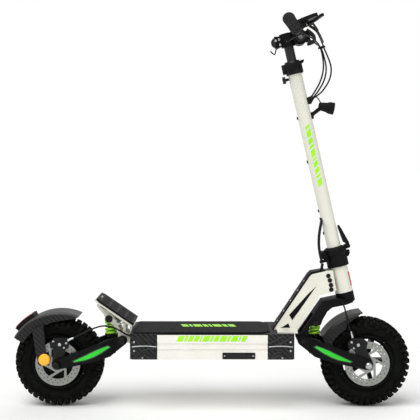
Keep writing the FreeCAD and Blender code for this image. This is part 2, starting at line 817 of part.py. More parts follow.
def make_neck():
    """Two side plates that carry the head tube, and the core and top cover between them."""
    half, thick, foot = dim["neck_half"], dim["plate_thick"], lid_top
    outline = [(193, foot), (304, 410), (311, 417), (358, 428), (376, 430), (388, 366),
               (337, 351), (268, foot)]
    slot = [(326, 381), (300, 357), (240, 290), (250, 272), (272, 302)]
    corner = [(213, foot + 5), (244, foot + 5), (238, foot + 20)]
    plates = Piece("neck_plates")
    plates.slab("XZ_Plane", [outline, slot, corner], -half, half)
    plates.cut("XZ_Plane", [box(150, 400, foot - 5, 460)], thick - half, half - thick)
    core = Piece("neck_core")
    proud = dim["cover_proud"]
    inner = [(188, foot), (300, 414), (310, 422 + proud), (352, 429 + proud), (384, 372),
             (337, 355), (264, foot)]
    core.slab("XZ_Plane", [inner], thick - half, half - thick)
    hollow = [(206, foot + 8), (304, 404), (340, 414), (358, 376), (330, 364), (258, foot + 8)]
    core.cut("XZ_Plane", [hollow], thick * 2 - half, half - thick * 2)
    for sign in (-1, 1):
        near, far = sorted((sign * (half - 1), sign * 106), key=number)
        plates.slab("XY_Plane", [box(200, 262, near, far)], foot, foot + 4)
    for piece in (plates, core):
        bore_on_stem_axis(piece, dim["head_radius"])


def make_head():
    length, outer, tube = dim["head_len"], dim["head_radius"], dim["steerer_radius"]
    seat, tall = dim["bearing_radius"], dim["bearing_tall"]
    head = Piece("head_tube")
    wall = seat - 3
    head.turn("XZ_Plane", [[(seat, 0), (outer, 0), (outer, length), (seat, length),
                            (seat, length - tall), (wall, length - tall - 2), (wall, tall + 2),
                            (seat, tall)]])
    stem_place(head)
    bearings = Piece("headset_bearings")
    bore = tube + dim["running_gap"]
    for low in (dim["free_gap"], length - tall):
        bearings.turn("XZ_Plane", [box(bore, seat, low, low + tall - dim["free_gap"])])
    stem_place(bearings)


def pin_end():
    """How far an arm's pivot pin reaches from the centre plane, its head included."""
    return dim["arm_in_pivot"] + dim["arm_thick"] + dim["pin_head"] + dim["free_gap"]


def add_pin_heads(piece, x, z):
    """The flat heads that keep a swing arm on its pivot pin."""
    for low, high in ((-pin_end(), dim["pin_head"] - pin_end()), (pin_end() - dim["pin_head"], pin_end())):
        piece.slab("XZ_Plane", [Circle(x, z, dim["arm_boss"] - 4)], low, high)


def make_fork():
    """The crown below the head tube, and two legs that run back to the arm's pivot."""
    half, thick, boss = dim["fork_half"], dim["fork_thick"], dim["arm_boss"]
    px, pz = front_pivot_x, pivot_z
    legs = Piece("fork")
    outline = [(440, 331), (417, 322), (375, 314), (359, 301), (345, 276), (339, 259),
               (304, 256), (301, 236), (px + boss + 3, pz + 6), Arc(px, pz, boss, 0, -205), (267, 220),
               (345, 333), (392, 343)]
    legs.slab("XZ_Plane", [outline], -half, half)
    legs.cut("XZ_Plane", [[(240, 180), (352, 180), (352, 286), (322, 290), (240, 290)]],
             thick - half, half - thick)
    eye_x, eye_z, length = shock_places("front")
    bore = dim["eye_pin"] + dim["running_gap"]
    legs.cut("XZ_Plane", [Circle(eye_x, eye_z + length, bore)], thick - half - 6, half - thick + 6)
    bore_on_stem_axis(legs, dim["crown_radius"])
    legs.slab("XZ_Plane", [Circle(px, pz, dim["pivot_radius"])],
              -pin_end(), pin_end())
    add_pin_heads(legs, px, pz)


def make_steerer():
    """Crown, steerer tube and the lower half of the fold joint, turned as one."""
    steerer = Piece("steerer")
    tube, length, crown = dim["steerer_radius"], dim["head_len"], dim["crown_radius"]
    gap, base, flange, top = dim["free_gap"], dim["base_radius"], dim["flange_radius"], dim["fold_z"]
    steerer.turn("XZ_Plane", [[(0, -dim["crown_tall"]), (crown - 3, -dim["crown_tall"]),
                               (crown, 3 - dim["crown_tall"]), (crown, -gap), (tube, -gap),
                               (tube, length + gap), (base, length + gap), (base, top - 12),
                               (flange, top - 8), (flange, top - 0.5), (0, top - 0.5)]])
    back, knuckle = -dim["fold_back"], dim["knuckle_radius"]
    ears = [Arc(back, top, knuckle, 180, 0), (back + knuckle + 4, top - 22),
            (back + 10, top - 30), (back - knuckle, top - 12)]
    steerer.slab("XZ_Plane", [ears], -dim["ear_half"], dim["ear_half"])
    room = dim["knuckle_half"] + dim["free_gap"]
    steerer.cut("XZ_Plane", [box(back - knuckle - 4, back + knuckle + 1, top - knuckle - 1, top + 14)],
                -room, room)
    steerer.slab("XZ_Plane", [Circle(back, top, dim["fold_pin"])], -dim["ear_half"], dim["ear_half"])
    clip, loom = dim["ear_half"] + dim["loom_radius"] + 4, dim["loom_radius"]
    steerer.slab("XY_Plane", [box(back - 18, back + 6, -clip - loom - 2, 2 - dim["ear_half"])],
                 top - 24, top - 17)
    catch = [(base - 4, top - 26), (base + 5, top - 23), (flange + 8, top - 14), (flange + 8, top - 5),
             (base - 4, top - 5)]
    steerer.slab("XZ_Plane", [catch], -dim["latch_half"], dim["latch_half"])
    stem_place(steerer)


def latch_pin():
    """Where the fold latch turns, in front of the stem's foot."""
    return dim["flange_radius"] + 7, dim["fold_z"] + 7


def make_fold_yoke():
    """The stem's foot: a socket for the tube, with the knuckle that the pin goes through."""
    yoke = Piece("fold_yoke")
    flange, top, tube = dim["flange_radius"], dim["fold_z"], dim["stem_radius"]
    foot, bore = dim["stem_foot"], tube - dim["stem_wall"]
    yoke.turn("XZ_Plane", [[(0, top), (flange, top), (flange, top + 8), (tube + 4, top + 14),
                            (tube, top + 14), (tube, foot), (bore, foot), (bore, top + 40),
                            (0, top + 40)]])
    back, knuckle = -dim["fold_back"], dim["knuckle_radius"]
    shape = [Arc(back, top, knuckle, 90, 270), (back + 3, top - knuckle), (back + knuckle, top),
             (back + 16, top), (back + 16, top + knuckle)]
    yoke.slab("XZ_Plane", [shape], -dim["knuckle_half"], dim["knuckle_half"])
    yoke.cut("XZ_Plane", [Circle(back, top, dim["fold_pin"] + dim["running_gap"])], -20, 20)
    knuckle_end, ear_end = dim["knuckle_half"], dim["ear_half"] + 2
    for low, high in ((-ear_end, -knuckle_end), (knuckle_end, ear_end)):
        yoke.cut("XZ_Plane", [Circle(back, top, knuckle + 1)], low, high)
    pin_x, pin_z = latch_pin()
    ear = [(flange - 6, top), (pin_x, pin_z - 6), Arc(pin_x, pin_z, 6, -80, 90),
           (pin_x - 10, top + 13), (flange - 10, top + 8)]
    room = dim["latch_half"] + dim["free_gap"]
    for low, high in ((-room - 4, -room), (room, room + 4)):
        yoke.slab("XZ_Plane", [ear], low, high)
    yoke.slab("XZ_Plane", [Circle(pin_x, pin_z, dim["latch_pin"])], -room - 1, room + 1)
    stem_place(yoke)


def make_stem():
    tube = Piece("stem_tube")
    outer, wall = dim["stem_radius"], dim["stem_wall"]
    tube.turn("XZ_Plane", [box(outer - wall, outer, dim["stem_foot"], dim["stem_top"])])
    tube.cut("YZ_Plane", [Circle(0, dim["plunger_z"], 3 + dim["running_gap"])],
             -outer - 1, wall + 1 - outer)
    stem_place(tube)
    collar = Piece("clamp_collar")
    low, high, shell = dim["collar_foot"], dim["collar_top"], dim["collar_wall"]
    slide = dim["inner_radius"] + dim["running_gap"]
    collar.turn("XZ_Plane", [[(outer, low), (outer + shell, low), (outer + shell, high - 6),
                              (outer + 1, high), (slide, high), (slide, dim["stem_top"]),
                              (outer, dim["stem_top"])]])
    mid = (low + high) / 2
    lug = [(-outer - 14, mid - 15), (-outer - 3, mid - 15), (-outer - 3, mid + 15),
           (-outer - 14, mid + 15)]
    collar.slab("XZ_Plane", [lug], -9, 9)
    collar.slab("XZ_Plane", [Circle(-outer - 9, mid, 3)], -18, 18)
    stem_place(collar)


def make_stem_levers():
    """The quick-release lever of the top collar, the fold latch and the index plunger."""
    outer, mid = dim["stem_radius"], (dim["collar_foot"] + dim["collar_top"]) / 2
    turn_x = -outer - 9
    lever = Piece("collar_lever")
    shape = [Arc(turn_x, mid, 7, 90, 270), (turn_x + 30, mid - 7), (turn_x + 62, mid + 8),
             (turn_x + 66, mid + 16), (turn_x + 58, mid + 17), (turn_x + 28, mid + 6)]
    near = outer + dim["collar_wall"] + dim["free_gap"]
    lever.slab("XZ_Plane", [shape], -near - 5, -near)
    lever.slab("XZ_Plane", [Circle(turn_x, mid, 5)], -near - 5, -9 - dim["free_gap"])
    lever.cut("XZ_Plane", [Circle(turn_x, mid, 3 + dim["running_gap"])], -20, -8)
    stem_place(lever)

    latch = Piece("fold_latch")
    top = dim["fold_z"]
    pin_x, pin_z = latch_pin()
    blade = [Arc(pin_x, pin_z, 6, 200, 360), (pin_x + 5, pin_z + 12), (pin_x - 1, pin_z + 32),
             (pin_x - 8, pin_z + 56), (pin_x - 13, pin_z + 70), (pin_x - 18, pin_z + 70),
             (pin_x - 18.5, pin_z + 60), (pin_x - 15, pin_z + 34), (pin_x - 12.5, pin_z + 15),
             (pin_x - 6, pin_z + 10)]
    half = dim["latch_half"]
    latch.slab("XZ_Plane", [blade], -half, half)
    latch.cut("XZ_Plane", [Circle(pin_x, pin_z, dim["latch_pin"] + dim["running_gap"])], -half, half)
    stem_place(latch)

    plunger = Piece("index_plunger")
    reach, nib = outer + 2, dim["inner_radius"] + 2.7
    plunger.turn("XY_Plane", [[(-nib, 0), (-nib, 3), (-reach, 3), (-reach, 4.5),
                               (-reach - 9, 4.5), (-reach - 9, 11), (-reach - 18, 11),
                               (-reach - 18, 0)]], axis="H_Axis")
    stem_place(plunger, z=dim["plunger_z"])


# ---------------------------------------------------------------- telescope and handlebar

def make_inner_tube():
    inner = Piece("inner_tube")
    outer, wall = dim["inner_radius"], dim["inner_wall"]
    inner.turn("XZ_Plane", [box(outer - wall, outer, dim["inner_foot"], dim["inner_top"])])
    stem_place(inner)


def make_stem_head():
    """The block on top of the inner tube: a clamp for the bar, and the stowing plate."""
    head = Piece("stem_head")
    tube, block, foot = dim["inner_radius"], dim["block_radius"], dim["head_foot"]
    clamp_x, clamp_z, clamp = dim["clamp_x"], dim["clamp_z"], dim["clamp_radius"]
    top = dim["inner_top"] + 5
    head.turn("XZ_Plane", [[(tube, foot), (block, foot), (block, top), (0, top),
                            (0, dim["inner_top"]), (tube, dim["inner_top"])]])
    head.slab("XZ_Plane", [[(block - 5, clamp_z - 15), (clamp_x, clamp_z - 18), (clamp_x, clamp_z + 18),
                            (block - 5, clamp_z + 15)]], -20, 20)
    head.slab("XZ_Plane", [Circle(clamp_x, clamp_z, clamp)], -dim["clamp_half"], dim["clamp_half"])
    head.cut("XZ_Plane", [Circle(clamp_x, clamp_z, dim["bar_sleeve"])], -40, 40)
    head.slab("XZ_Plane", [[(-block - 20, clamp_z - 20), (-block + 4, clamp_z - 14),
                            (-block + 4, clamp_z + 16), (-block - 16, clamp_z + 20)]], -12, 12)
    rise = sind(display_turn) / cosd(display_turn)
    foot_x, foot_z = clamp_x + dim["display_x"], clamp_z + dim["display_z"]
    head.slab("XZ_Plane", [[(clamp_x - 8, clamp_z + clamp - 2), (clamp_x + 14, clamp_z + clamp - 4),
                            (foot_x + 2, foot_z + 2 * rise), (foot_x - 22, foot_z - 22 * rise)]],
              -14, 14)
    stem_place(head)


def bar_points():
    """The bar's route, left to right, in the stem's frame."""
    x, z, half, bend = dim["clamp_x"], dim["clamp_z"], dim["bar_half"], dim["bar_bend"]
    end_x, end_z = x - dim["bar_back"], z + dim["bar_rise"]
    route = [(end_x, half, end_z), (x, bend, z), (x, -bend, z), (end_x, -half, end_z)]
    return [stem_point(*point) for point in route]


def make_handlebar():
    points = bar_points()
    bar, _, _ = tube_along(points, number(dim["bar_radius"]), 0.2)
    half = number(dim["clamp_half"]) + 8
    middle = (Vector(*points[1]) + Vector(*points[2])) / 2
    sleeve = Part.makeCylinder(number(dim["bar_sleeve"]), 2 * half, middle - Vector(0, half, 0),
                               Vector(0, 1, 0))
    feature = doc.addObject("Part::Feature", "handlebar")
    feature.Label = "handlebar"
    feature.Shape = bar.fuse(sleeve).removeSplitter()
    pieces["handlebar"] = feature


def bar_end(side):
    """The bar's bend and its tip on one side, in the scooter's own frame."""
    points = [Vector(*point) for point in bar_points()]
    return (points[1], points[0]) if side > 0 else (points[2], points[3])


def on_bar(side, y):
    """The point of the bar at a distance from the centre plane."""
    bend, tip = bar_end(side)
    share = (abs(y) - abs(bend.y)) / (abs(tip.y) - abs(bend.y))
    return bend + (tip - bend) * share


def make_grips():
    """A rubber sleeve with an end cap on each side of the bar."""
    grips = doc.addObject("Part::Feature", "grips")
    grips.Label = "grips"
    solids = []
    for side in (1, -1):
        bend, tip = bar_end(side)
        along = (tip - bend).normalize()
        length, outer = number(dim["grip_len"]), number(dim["grip_radius"])
        foot = tip - along * (length - 4)
        sleeve = Part.makeCylinder(outer, length, foot, along)
        bore = Part.makeCylinder(number(dim["bar_radius"]), length - 4, foot, along)
        solids.append(sleeve.cut(bore))
    grips.Shape = Part.makeCompound(solids)
    pieces["grips"] = grips


def make_pods():
    """Lever perches on both sides, clamped round the bar, with the switch box on the left."""
    pods = doc.addObject("Part::Feature", "control_pods")
    pods.Label = "control_pods"
    solids = []
    lean = number(dim["perch_tilt"])
    for side in (1, -1):
        bend, tip = bar_end(side)
        along = (tip - bend).normalize()
        spot = on_bar(side, number(dim["pod_y"]))
        width, bar = number(dim["pod_width"]), number(dim["bar_radius"])
        ring_out = Part.makeCylinder(bar + 6, width, spot - along * (width / 2), along)
        reach = number(dim["lever_pivot"])
        arm = Part.makeBox(reach + 8, 20, 12, Vector(0, -10, -6))
        pin_room = Part.makeBox(20, 40, number(dim["lever_thick"]) - 1 + 2, Vector(reach - 9, -20, -5))
        pin = Part.makeCylinder(3, 12, Vector(reach, 0, -6))
        if side < 0:
            box_out = Part.makeBox(26, 20, 20, Vector(-6, -10, 2))
        else:
            box_out = Part.makeBox(30, 30, 24, Vector(-8, 8 - 50, -2))
        shape = arm.cut(pin_room).fuse(pin).fuse(box_out)
        shape.Placement = Placement(spot, Rotation(Vector(0, 1, 0), -lean))
        bore = Part.makeCylinder(bar, 140, spot - along * 70, along)
        solids.append(ring_out.fuse(shape).cut(bore).removeSplitter())
    pods.Shape = Part.makeCompound(solids)
    pieces["control_pods"] = pods


def make_brake_lever(label, side):
    """A bent blade on its pin, in front of the grip."""
    lever = Piece(label)
    tall, length = dim["lever_thick"] - 1, dim["lever_len"]
    bore = 3 + dim["running_gap"]
    blade = [(-6, -side * 8), (8, -side * 6), (10, side * 16), (20, side * 40),
             (27, side * 80), (33, side * (length - 4)), (28, side * length),
             (22, side * (length - 3)), (17, side * 80), (9, side * 42), (-4, side * 22)]
    lever.slab("XY_Plane", [blade, Circle(0, 0, bore)], -tall / 2, tall / 2)
    spot = on_bar(side, number(dim["pod_y"]))
    lean = math.radians(number(dim["perch_tilt"]))
    reach = number(dim["lever_pivot"])
    place = spot + Vector(math.cos(lean), 0, math.sin(lean)) * reach
    lever.place(place.x, place.y, place.z, angle=-dim["perch_tilt"])


def make_throttle():
    """The thumb throttle: a ring on the bar and a paddle towards the rider."""
    side = -1
    bend, tip = bar_end(side)
    along = (tip - bend).normalize()
    spot = on_bar(side, number(dim["pod_y"]) - 36)
    throttle = doc.addObject("Part::Feature", "throttle")
    throttle.Label = "throttle"
    bar, gap = number(dim["bar_radius"]), number(dim["running_gap"])
    ring_out = Part.makeCylinder(bar + 5, 9, spot, along)
    paddle = Part.makeBox(36, 12, 6, Vector(-44, -7, -14))
    paddle.Placement = Placement(spot + along * 4, Rotation(Vector(0, 1, 0), -30))
    bore = Part.makeCylinder(bar + gap, 60, spot - along * 30, along)
    throttle.Shape = ring_out.fuse(paddle).cut(bore).removeSplitter()
    pieces["throttle"] = throttle


def make_display():
    length, width, thick = dim["display_len"], dim["display_width"], dim["display_thick"]
    case = Piece("display")
    half = width / 2
    plan = [(-length / 2, -half + 10), (-length / 2 + 10, -half), (length / 2 - 14, -half),
            (length / 2, -half + 14), (length / 2, half - 14), (length / 2 - 14, half),
            (-length / 2 + 10, half), (-length / 2, half - 10)]
    case.slab("XY_Plane", [plan], 0, thick)
    button_x, gap = -length / 2 + 14, dim["free_gap"]
    case.cut("XY_Plane", [Circle(button_x, 0, 6 + gap)], thick - 4, thick + 2)
    foot = stem_spot(dim["clamp_x"] + dim["display_x"], 0, dim["clamp_z"] + dim["display_z"])
    case.place(*foot, angle=-dim["display_tilt"])
    button = Piece("power_button")
    button.slab("XY_Plane", [Circle(button_x, 0, 6)], thick - 2.6, thick + 1.4)
    button.place(*foot, angle=-dim["display_tilt"])


def make_headlight():
    """The lamp's housing, with the bracket that clamps it to the stem."""
    lamp = Piece("lamp_housing")
    lamp.turn("XZ_Plane", [[(0, 0), (10, 0), (12.5, 4), (15, 24), (19, 34), (19, 49), (16.5, 49),
                            (16.5, 46), (0, 46)]])
    lamp.place(*stem_spot(dim["lamp_x"], 0, dim["lamp_z"]), angle=dim["lamp_pitch"] + 90)
    bracket = Piece("lamp_bracket")
    reach, stem = dim["lamp_x"], dim["stem_radius"]
    low = dim["lamp_z"] - 35
    bracket.slab("XZ_Plane", [[(stem - 6, low), (stem + 5, low), (stem + 7, low + 9), (reach + 3, low + 20),
                               (reach + 4, low + 30), (reach - 5, low + 30), (stem + 8, low + 22),
                               (stem - 6, low + 21)]], -8, 8)
    bracket.slab("XZ_Plane", [[(stem - 6, low + 49), (stem + 8, low + 47), (stem + 10, low + 53),
                               (stem + 7, low + 67), (stem - 6, low + 69)]], -13, 13)
    bracket.cut("XY_Plane", [Circle(0, 0, stem)], low - 20, low + 90)
    stem_place(bracket)
    join("headlight", [lamp, bracket])


# ---------------------------------------------------------------- rear bracket and footrest

def make_rear_bracket():
    """The cast truss that carries the footrest, the shock's top and the arm's pivot."""
    bracket = Piece("rear_bracket")
    px, pz, boss = rear_pivot_x, pivot_z, dim["arm_boss"]
    half, thick = dim["bracket_half"], dim["bracket_thick"]
    tilt = dim["foot_angle"]
    low_x, low_z = dim["foot_low_x"], dim["foot_low_z"]
    end_x = low_x - dim["foot_len"] * cosd(tilt)
    end_z = low_z + dim["foot_len"] * sind(tilt)
    drop = dim["foot_thick"] / cosd(tilt)
    corner_z = low_z + (low_x - dim["deck_rear"]) * sind(tilt) / cosd(tilt) - drop
    outline = [(dim["deck_rear"], corner_z), (end_x, end_z - drop), (end_x - 5, end_z - 30),
               (-339, 290), (-332, 270), (-310, 258), (px - 14, 232), Arc(px, pz, boss, 170, 330),
               (dim["deck_rear"], 200)]
    slot = [(-350, 326), (-330, 311), (-330, 303), (-350, 315)]
    first = [(-312, 290), (-278, 268), (-286, 262), (-298, 266)]
    second = [(-296, 258), (-278, 262), (-280, 240), (-286, 236)]
    third = [(-271, 262), (-258, 256), (-258, 226), (-271, 236)]
    bracket.slab("XZ_Plane", [outline, slot, first, second, third], -half, half)
    inner = half - thick
    bracket.cut("XZ_Plane", [[(-345, 285), (-298, 300), (-262, 290), (-262, 180), (-345, 180)]],
                -inner, inner)
    eye_x, eye_z, length = shock_places("rear")
    bore = dim["eye_pin"] + dim["running_gap"]
    bracket.cut("XZ_Plane", [Circle(eye_x, eye_z + length, bore)], -inner - 6, inner + 6)
    bracket.slab("XZ_Plane", [Circle(px, pz, dim["pivot_radius"])], -pin_end(), pin_end())
    add_pin_heads(bracket, px, pz)


def make_footrest():
    tilt = dim["foot_angle"]
    pad = Piece("footrest")
    length, half, thick = dim["foot_len"], dim["foot_width"] / 2, dim["foot_thick"]
    plan = [(0, -half), (length - 12, -half), (length, -half + 12), (length, half - 12),
            (length - 12, half), (0, half)]
    pad.slab("XY_Plane", [plan], 0, thick)
    pad.place(dim["foot_low_x"], 0, dim["foot_low_z"], angle=tilt - 180)
    return pad


def make_kickstand():
    stand = Piece("kickstand")
    x, z, length, thick = dim["stand_x"], dim["stand_z"], dim["stand_len"], dim["stand_thick"]
    near = deck_half + 2 + dim["free_gap"]
    shape = [Arc(0, 0, 10, -90, 90), (12 - length, 6), (-length, 9), (-length, -8), (12 - length, -6)]
    stand.slab("XZ_Plane", [shape, Circle(0, 0, 4 + dim["running_gap"])], near, near + thick)
    stand.place(x, 0, z)


# ---------------------------------------------------------------- cables

def make_cables():
    thin, thick = number(dim["cable_radius"]), number(dim["loom_radius"])
    cable("handlebar_cables", [
        [(301, -146, 1176), (317, -116, 1163), (332, -66, 1146), (345, -9, 1127), (358, -11, 1098),
         (371, -13, 1064), (368, -12, 1028), (350, -10, 996), (331, -8, 976), (308, -7, 962)],
        [(298, 146, 1176), (314, 112, 1162), (329, 60, 1144), (341, 5, 1124), (350, 8, 1096),
         (358, 9, 1062), (353, 8, 1028), (338, 8, 998), (322, 7, 976), (306, 7, 960)],
        [(273, -112, 1152), (296, -84, 1150), (320, -44, 1139), (337, -4, 1125), (344, -3, 1098),
         (348, -2, 1064), (342, -1, 1030), (328, 0, 998), (306, 0, 966)]], thin)
    cable("upper_loom", [
        [(344, -8, 590), (338, -19, 566), (333, -28, 538), (332, -32, 510), (335, -32, 484),
         (340.8, -32, 460.8)]], thick)
    cable("lower_loom", [
        [(343.4, -32, 450.2), (343.5, -29.5, 440), (340, -24, 430)]], thick)
    cable("front_brake_cable", [
        [(404, -45, 334), (411, -52, 318), (416, -60, 292), (422, -67, 262), (429, -71, 243),
         (433, -73, 228)]], thin)
    cable("rear_brake_cable", [
        [(-446, -73, 216), (-428, -71, 224), (-400, -69, 238), (-372, -66, 251), (-342, -62, 260),
         (-312, -57, 256), (-288, -52, 242), (-268, -48, 230), (-252, -45, 222)]], thin)


def check_and_write():
    """Stop on any failed feature or bad shape, then write one file for each piece."""
    doc.recompute()
    faults = [f"{item.Name}: {item.State}" for item in doc.Objects
              if "Invalid" in item.State or "Error" in item.State]
    for label, item in pieces.items():
        shape = item.Shape
        if shape.isNull() or not shape.isValid() or not shape.Solids:
            faults.append(f"{label} has no valid solid")
    if faults:
        raise RuntimeError("; ".join(faults))
    os.makedirs("parts", exist_ok=True)
    for label, item in pieces.items():
        item.Shape.exportStep(f"parts/{label}.step")
    print(f"{len(pieces)} pieces")


for end in ENDS:
    make_tyre(end)
    make_axle(end)
    make_rotor(end)
    make_arm(end)
    make_shock(end)
    make_caliper(end)
    make_caliper_arm(end)
    make_fender(end)
make_front_hub()
make_rear_hub()
make_tail_light()
make_deck_frame()
make_deck_top()
make_corner_blocks()
make_deck_inside()
make_neck()
make_head()
make_fork()
make_steerer()
make_fold_yoke()
make_stem()
make_stem_levers()
make_inner_tube()
make_stem_head()
make_handlebar()
make_grips()
make_pods()
make_brake_lever("brake_lever_left", 1)
make_brake_lever("brake_lever_right", -1)
make_throttle()
make_display()
make_headlight()
make_rear_bracket()
make_footrest()
make_kickstand()
make_cables()
check_and_write()
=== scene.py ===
import math

import bmesh
import bpy
import numpy as np
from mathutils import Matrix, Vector


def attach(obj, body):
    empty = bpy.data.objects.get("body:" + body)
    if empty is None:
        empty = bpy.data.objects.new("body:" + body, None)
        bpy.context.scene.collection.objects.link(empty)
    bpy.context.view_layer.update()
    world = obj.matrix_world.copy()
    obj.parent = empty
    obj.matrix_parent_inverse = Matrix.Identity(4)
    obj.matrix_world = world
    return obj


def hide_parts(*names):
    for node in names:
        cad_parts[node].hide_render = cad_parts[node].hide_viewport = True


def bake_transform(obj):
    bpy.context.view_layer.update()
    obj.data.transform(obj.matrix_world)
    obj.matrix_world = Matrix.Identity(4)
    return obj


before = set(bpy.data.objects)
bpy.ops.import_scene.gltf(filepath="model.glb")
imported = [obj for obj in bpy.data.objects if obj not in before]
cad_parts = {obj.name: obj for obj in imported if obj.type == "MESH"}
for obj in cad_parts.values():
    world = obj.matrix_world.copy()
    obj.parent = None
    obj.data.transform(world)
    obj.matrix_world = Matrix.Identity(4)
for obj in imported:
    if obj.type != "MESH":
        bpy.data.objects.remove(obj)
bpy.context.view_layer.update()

# Electric kick scooter. Metres in Blender; every number below is in millimetres
# unless it says otherwise. +X forward, +Y to the rider's left, +Z up.

MM = 0.001

AXLE_X, AXLE_Z = 482, 140
PIVOT_X, PIVOT_Z = 281, 211
FRONT_EYE_Z, REAR_EYE_Z, SHOCK_X = 265, 281, 321
CLAMP_X, CLAMP_Z = 39, 808
STEM_SKIN = 21.5
STEM_FOOT, STEM_LEAN = np.array([415.9, 0.0, 359.0]), math.radians(13.03)
UP_STEM = np.array([-math.sin(STEM_LEAN), 0.0, math.cos(STEM_LEAN)])
OFF_STEM = np.array([math.cos(STEM_LEAN), 0.0, math.sin(STEM_LEAN)])
ACROSS = np.array([0.0, 1.0, 0.0])


# ------------------------------------------------------------------ surfaces

def add_piece(name, points, faces, finish, body, sharp=38):
    """A mesh from points in millimetres; doubles merged, faces turned outwards."""
    mesh = bpy.data.meshes.new(name)
    corners = np.asarray(points, float).reshape(-1, 3) * MM
    mesh.from_pydata(corners.tolist(), [], [list(map(int, face)) for face in faces])
    tidy = bmesh.new()
    tidy.from_mesh(mesh)
    bmesh.ops.remove_doubles(tidy, verts=tidy.verts, dist=1e-6)
    bmesh.ops.recalc_face_normals(tidy, faces=tidy.faces)
    tidy.to_mesh(mesh)
    tidy.free()
    mesh.shade_smooth()
    mesh.set_sharp_from_angle(angle=math.radians(sharp))
    mesh.materials.append(finish)
    piece = bpy.data.objects.new(name, mesh)
    bpy.context.scene.collection.objects.link(piece)
    if body:
        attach(piece, body)
    return piece


def grid_faces(rows, columns, round_rows=False, round_columns=False):
    """Four-cornered faces joining each point of a grid to its right and lower neighbours."""
    row = np.arange(rows if round_rows else rows - 1)[:, None]
    column = np.arange(columns if round_columns else columns - 1)[None, :]
    below, right = (row + 1) % rows, (column + 1) % columns
    return np.stack([row * columns + column, row * columns + right,
                     below * columns + right, below * columns + column], -1).reshape(-1, 4)


def heap(parts):
    """Many shapes as one: their points stacked, their faces counted on from each other."""
    points, faces, start = [], [], 0
    for corners, sides in parts:
        corners = np.asarray(corners, float).reshape(-1, 3)
        points.append(corners)
        faces += [[int(i) + start for i in side] for side in sides]
        start += len(corners)
    return np.concatenate(points), faces


def across(direction):
    """Two unit vectors that stand square to a direction and to each other."""
    direction = np.asarray(direction, float) / np.linalg.norm(direction)
    helper = np.array([0, 0, 1.0]) if abs(direction[2]) < 0.9 else np.array([1.0, 0, 0])
    first = np.cross(helper, direction)
    first = first / np.linalg.norm(first)
    return first, np.cross(direction, first)


def turned(profile, origin, axis, steps=48, facet=None):
    """A profile of (radius, height) turned about an axis: origin + height * axis +
    radius * (cos a, sin a). Rows named in facet are flattened to a hexagon."""
    profile = np.asarray(profile, float)
    axis = np.asarray(axis, float) / np.linalg.norm(axis)
    first, second = across(axis)
    angle = np.linspace(0, 2 * math.pi, steps, endpoint=False)[:, None]
    radius = np.repeat(profile[None, :, 0], steps, 0)
    if facet is not None:
        flat = np.cos(math.pi / 6) / np.cos(np.mod(angle, math.pi / 3) - math.pi / 6)
        radius[:, facet] = radius[:, facet] * flat
    points = (np.asarray(origin, float) + profile[None, :, 1, None] * axis
              + (radius * np.cos(angle))[..., None] * first
              + (radius * np.sin(angle))[..., None] * second)
    return points, grid_faces(steps, len(profile), round_rows=True)


def inset(outline, distance):
    """The outline moved inwards: each corner slides along its own bisector."""
    outline = np.asarray(outline, float)
    after = np.roll(outline, -1, 0) - outline
    after = after / np.linalg.norm(after, axis=1)[:, None]
    before = np.roll(after, 1, 0)
    normal = np.stack([-after[:, 1], after[:, 0]], -1) + np.stack([-before[:, 1], before[:, 0]], -1)
    area = np.sum(outline[:, 0] * np.roll(outline[:, 1], -1) - outline[:, 1] * np.roll(outline[:, 0], -1))
    reach = 2 / np.maximum(np.sum(normal ** 2, 1), 0.5)
    return outline + normal * reach[:, None] * distance * np.sign(area)


def plate(outline, low, high, edge, origin, along, up):
    """An outline drawn up into a plate with chamfered edges: four rings, each
    origin + x * along + y * up + height * (along x up), and two caps."""
    along, up = np.asarray(along, float), np.asarray(up, float)
    out = np.cross(along, up)
    rings = [(inset(outline, edge), low), (np.asarray(outline, float), low + edge),
             (np.asarray(outline, float), high - edge), (inset(outline, edge), high)]
    points = np.stack([np.asarray(origin, float) + flat[:, :1] * along + flat[:, 1:] * up + height * out
                       for flat, height in rings])
    count = len(outline)
    faces = grid_faces(4, count, round_columns=True).tolist()
    return points, faces + [list(range(count)), list(range(3 * count, 4 * count))]


def side_plate(outline, near, far, edge=0.4, sides=(-1, 1)):
    """Plates drawn in the side view (x, z), between two distances from the centre plane."""
    parts = []
    for side in sides:
        low, high = sorted((-side * near, -side * far))
        parts.append(plate(outline, low, high, edge, (0, 0, 0), (1, 0, 0), (0, 0, 1)))
    return heap(parts)


def rod(path, radius, steps=12):
    """A round rod along a path: rings square to the path's own direction, closed by caps."""
    path = np.asarray(path, float)
    along = np.gradient(path, axis=0)
    along = along / np.linalg.norm(along, axis=1)[:, None]
    helper = np.array([0, 1.0, 0]) if abs(along[:, 1]).max() < 0.9 else np.array([0, 0, 1.0])
    first = np.cross(helper, along)
    first = first / np.linalg.norm(first, axis=1)[:, None]
    second = np.cross(along, first)
    angle = np.linspace(0, 2 * math.pi, steps, endpoint=False)[None, :, None]
    points = path[:, None] + radius * (np.cos(angle) * first[:, None] + np.sin(angle) * second[:, None])
    faces = grid_faces(len(path), steps, round_columns=True).tolist()
    last = (len(path) - 1) * steps
    return points, faces + [list(range(steps)), list(range(last, last + steps))]


def bolt(spot, axis, radius, height):
    """A button head with a hexagon socket, turned about its own axis."""
    deep = height * 0.35
    profile = [(0, deep), (radius * 0.42, deep), (radius * 0.45, height), (radius * 0.72, height),
               (radius * 0.93, height * 0.78), (radius, height * 0.45), (radius, -0.6), (0, -0.6)]
    return turned(profile, spot, axis, 24, [1, 2])


def mirrored(spots):
    """The same places on both sides of the centre plane, with their outward directions."""
    return [((x, side * y, z), (0, side, 0)) for x, y, z in spots for side in (-1, 1)]


def on_stem(x, y, z):
    """A place measured in the stem's leaning frame, whose z runs up its axis."""
    return STEM_FOOT + x * OFF_STEM + y * ACROSS + z * UP_STEM


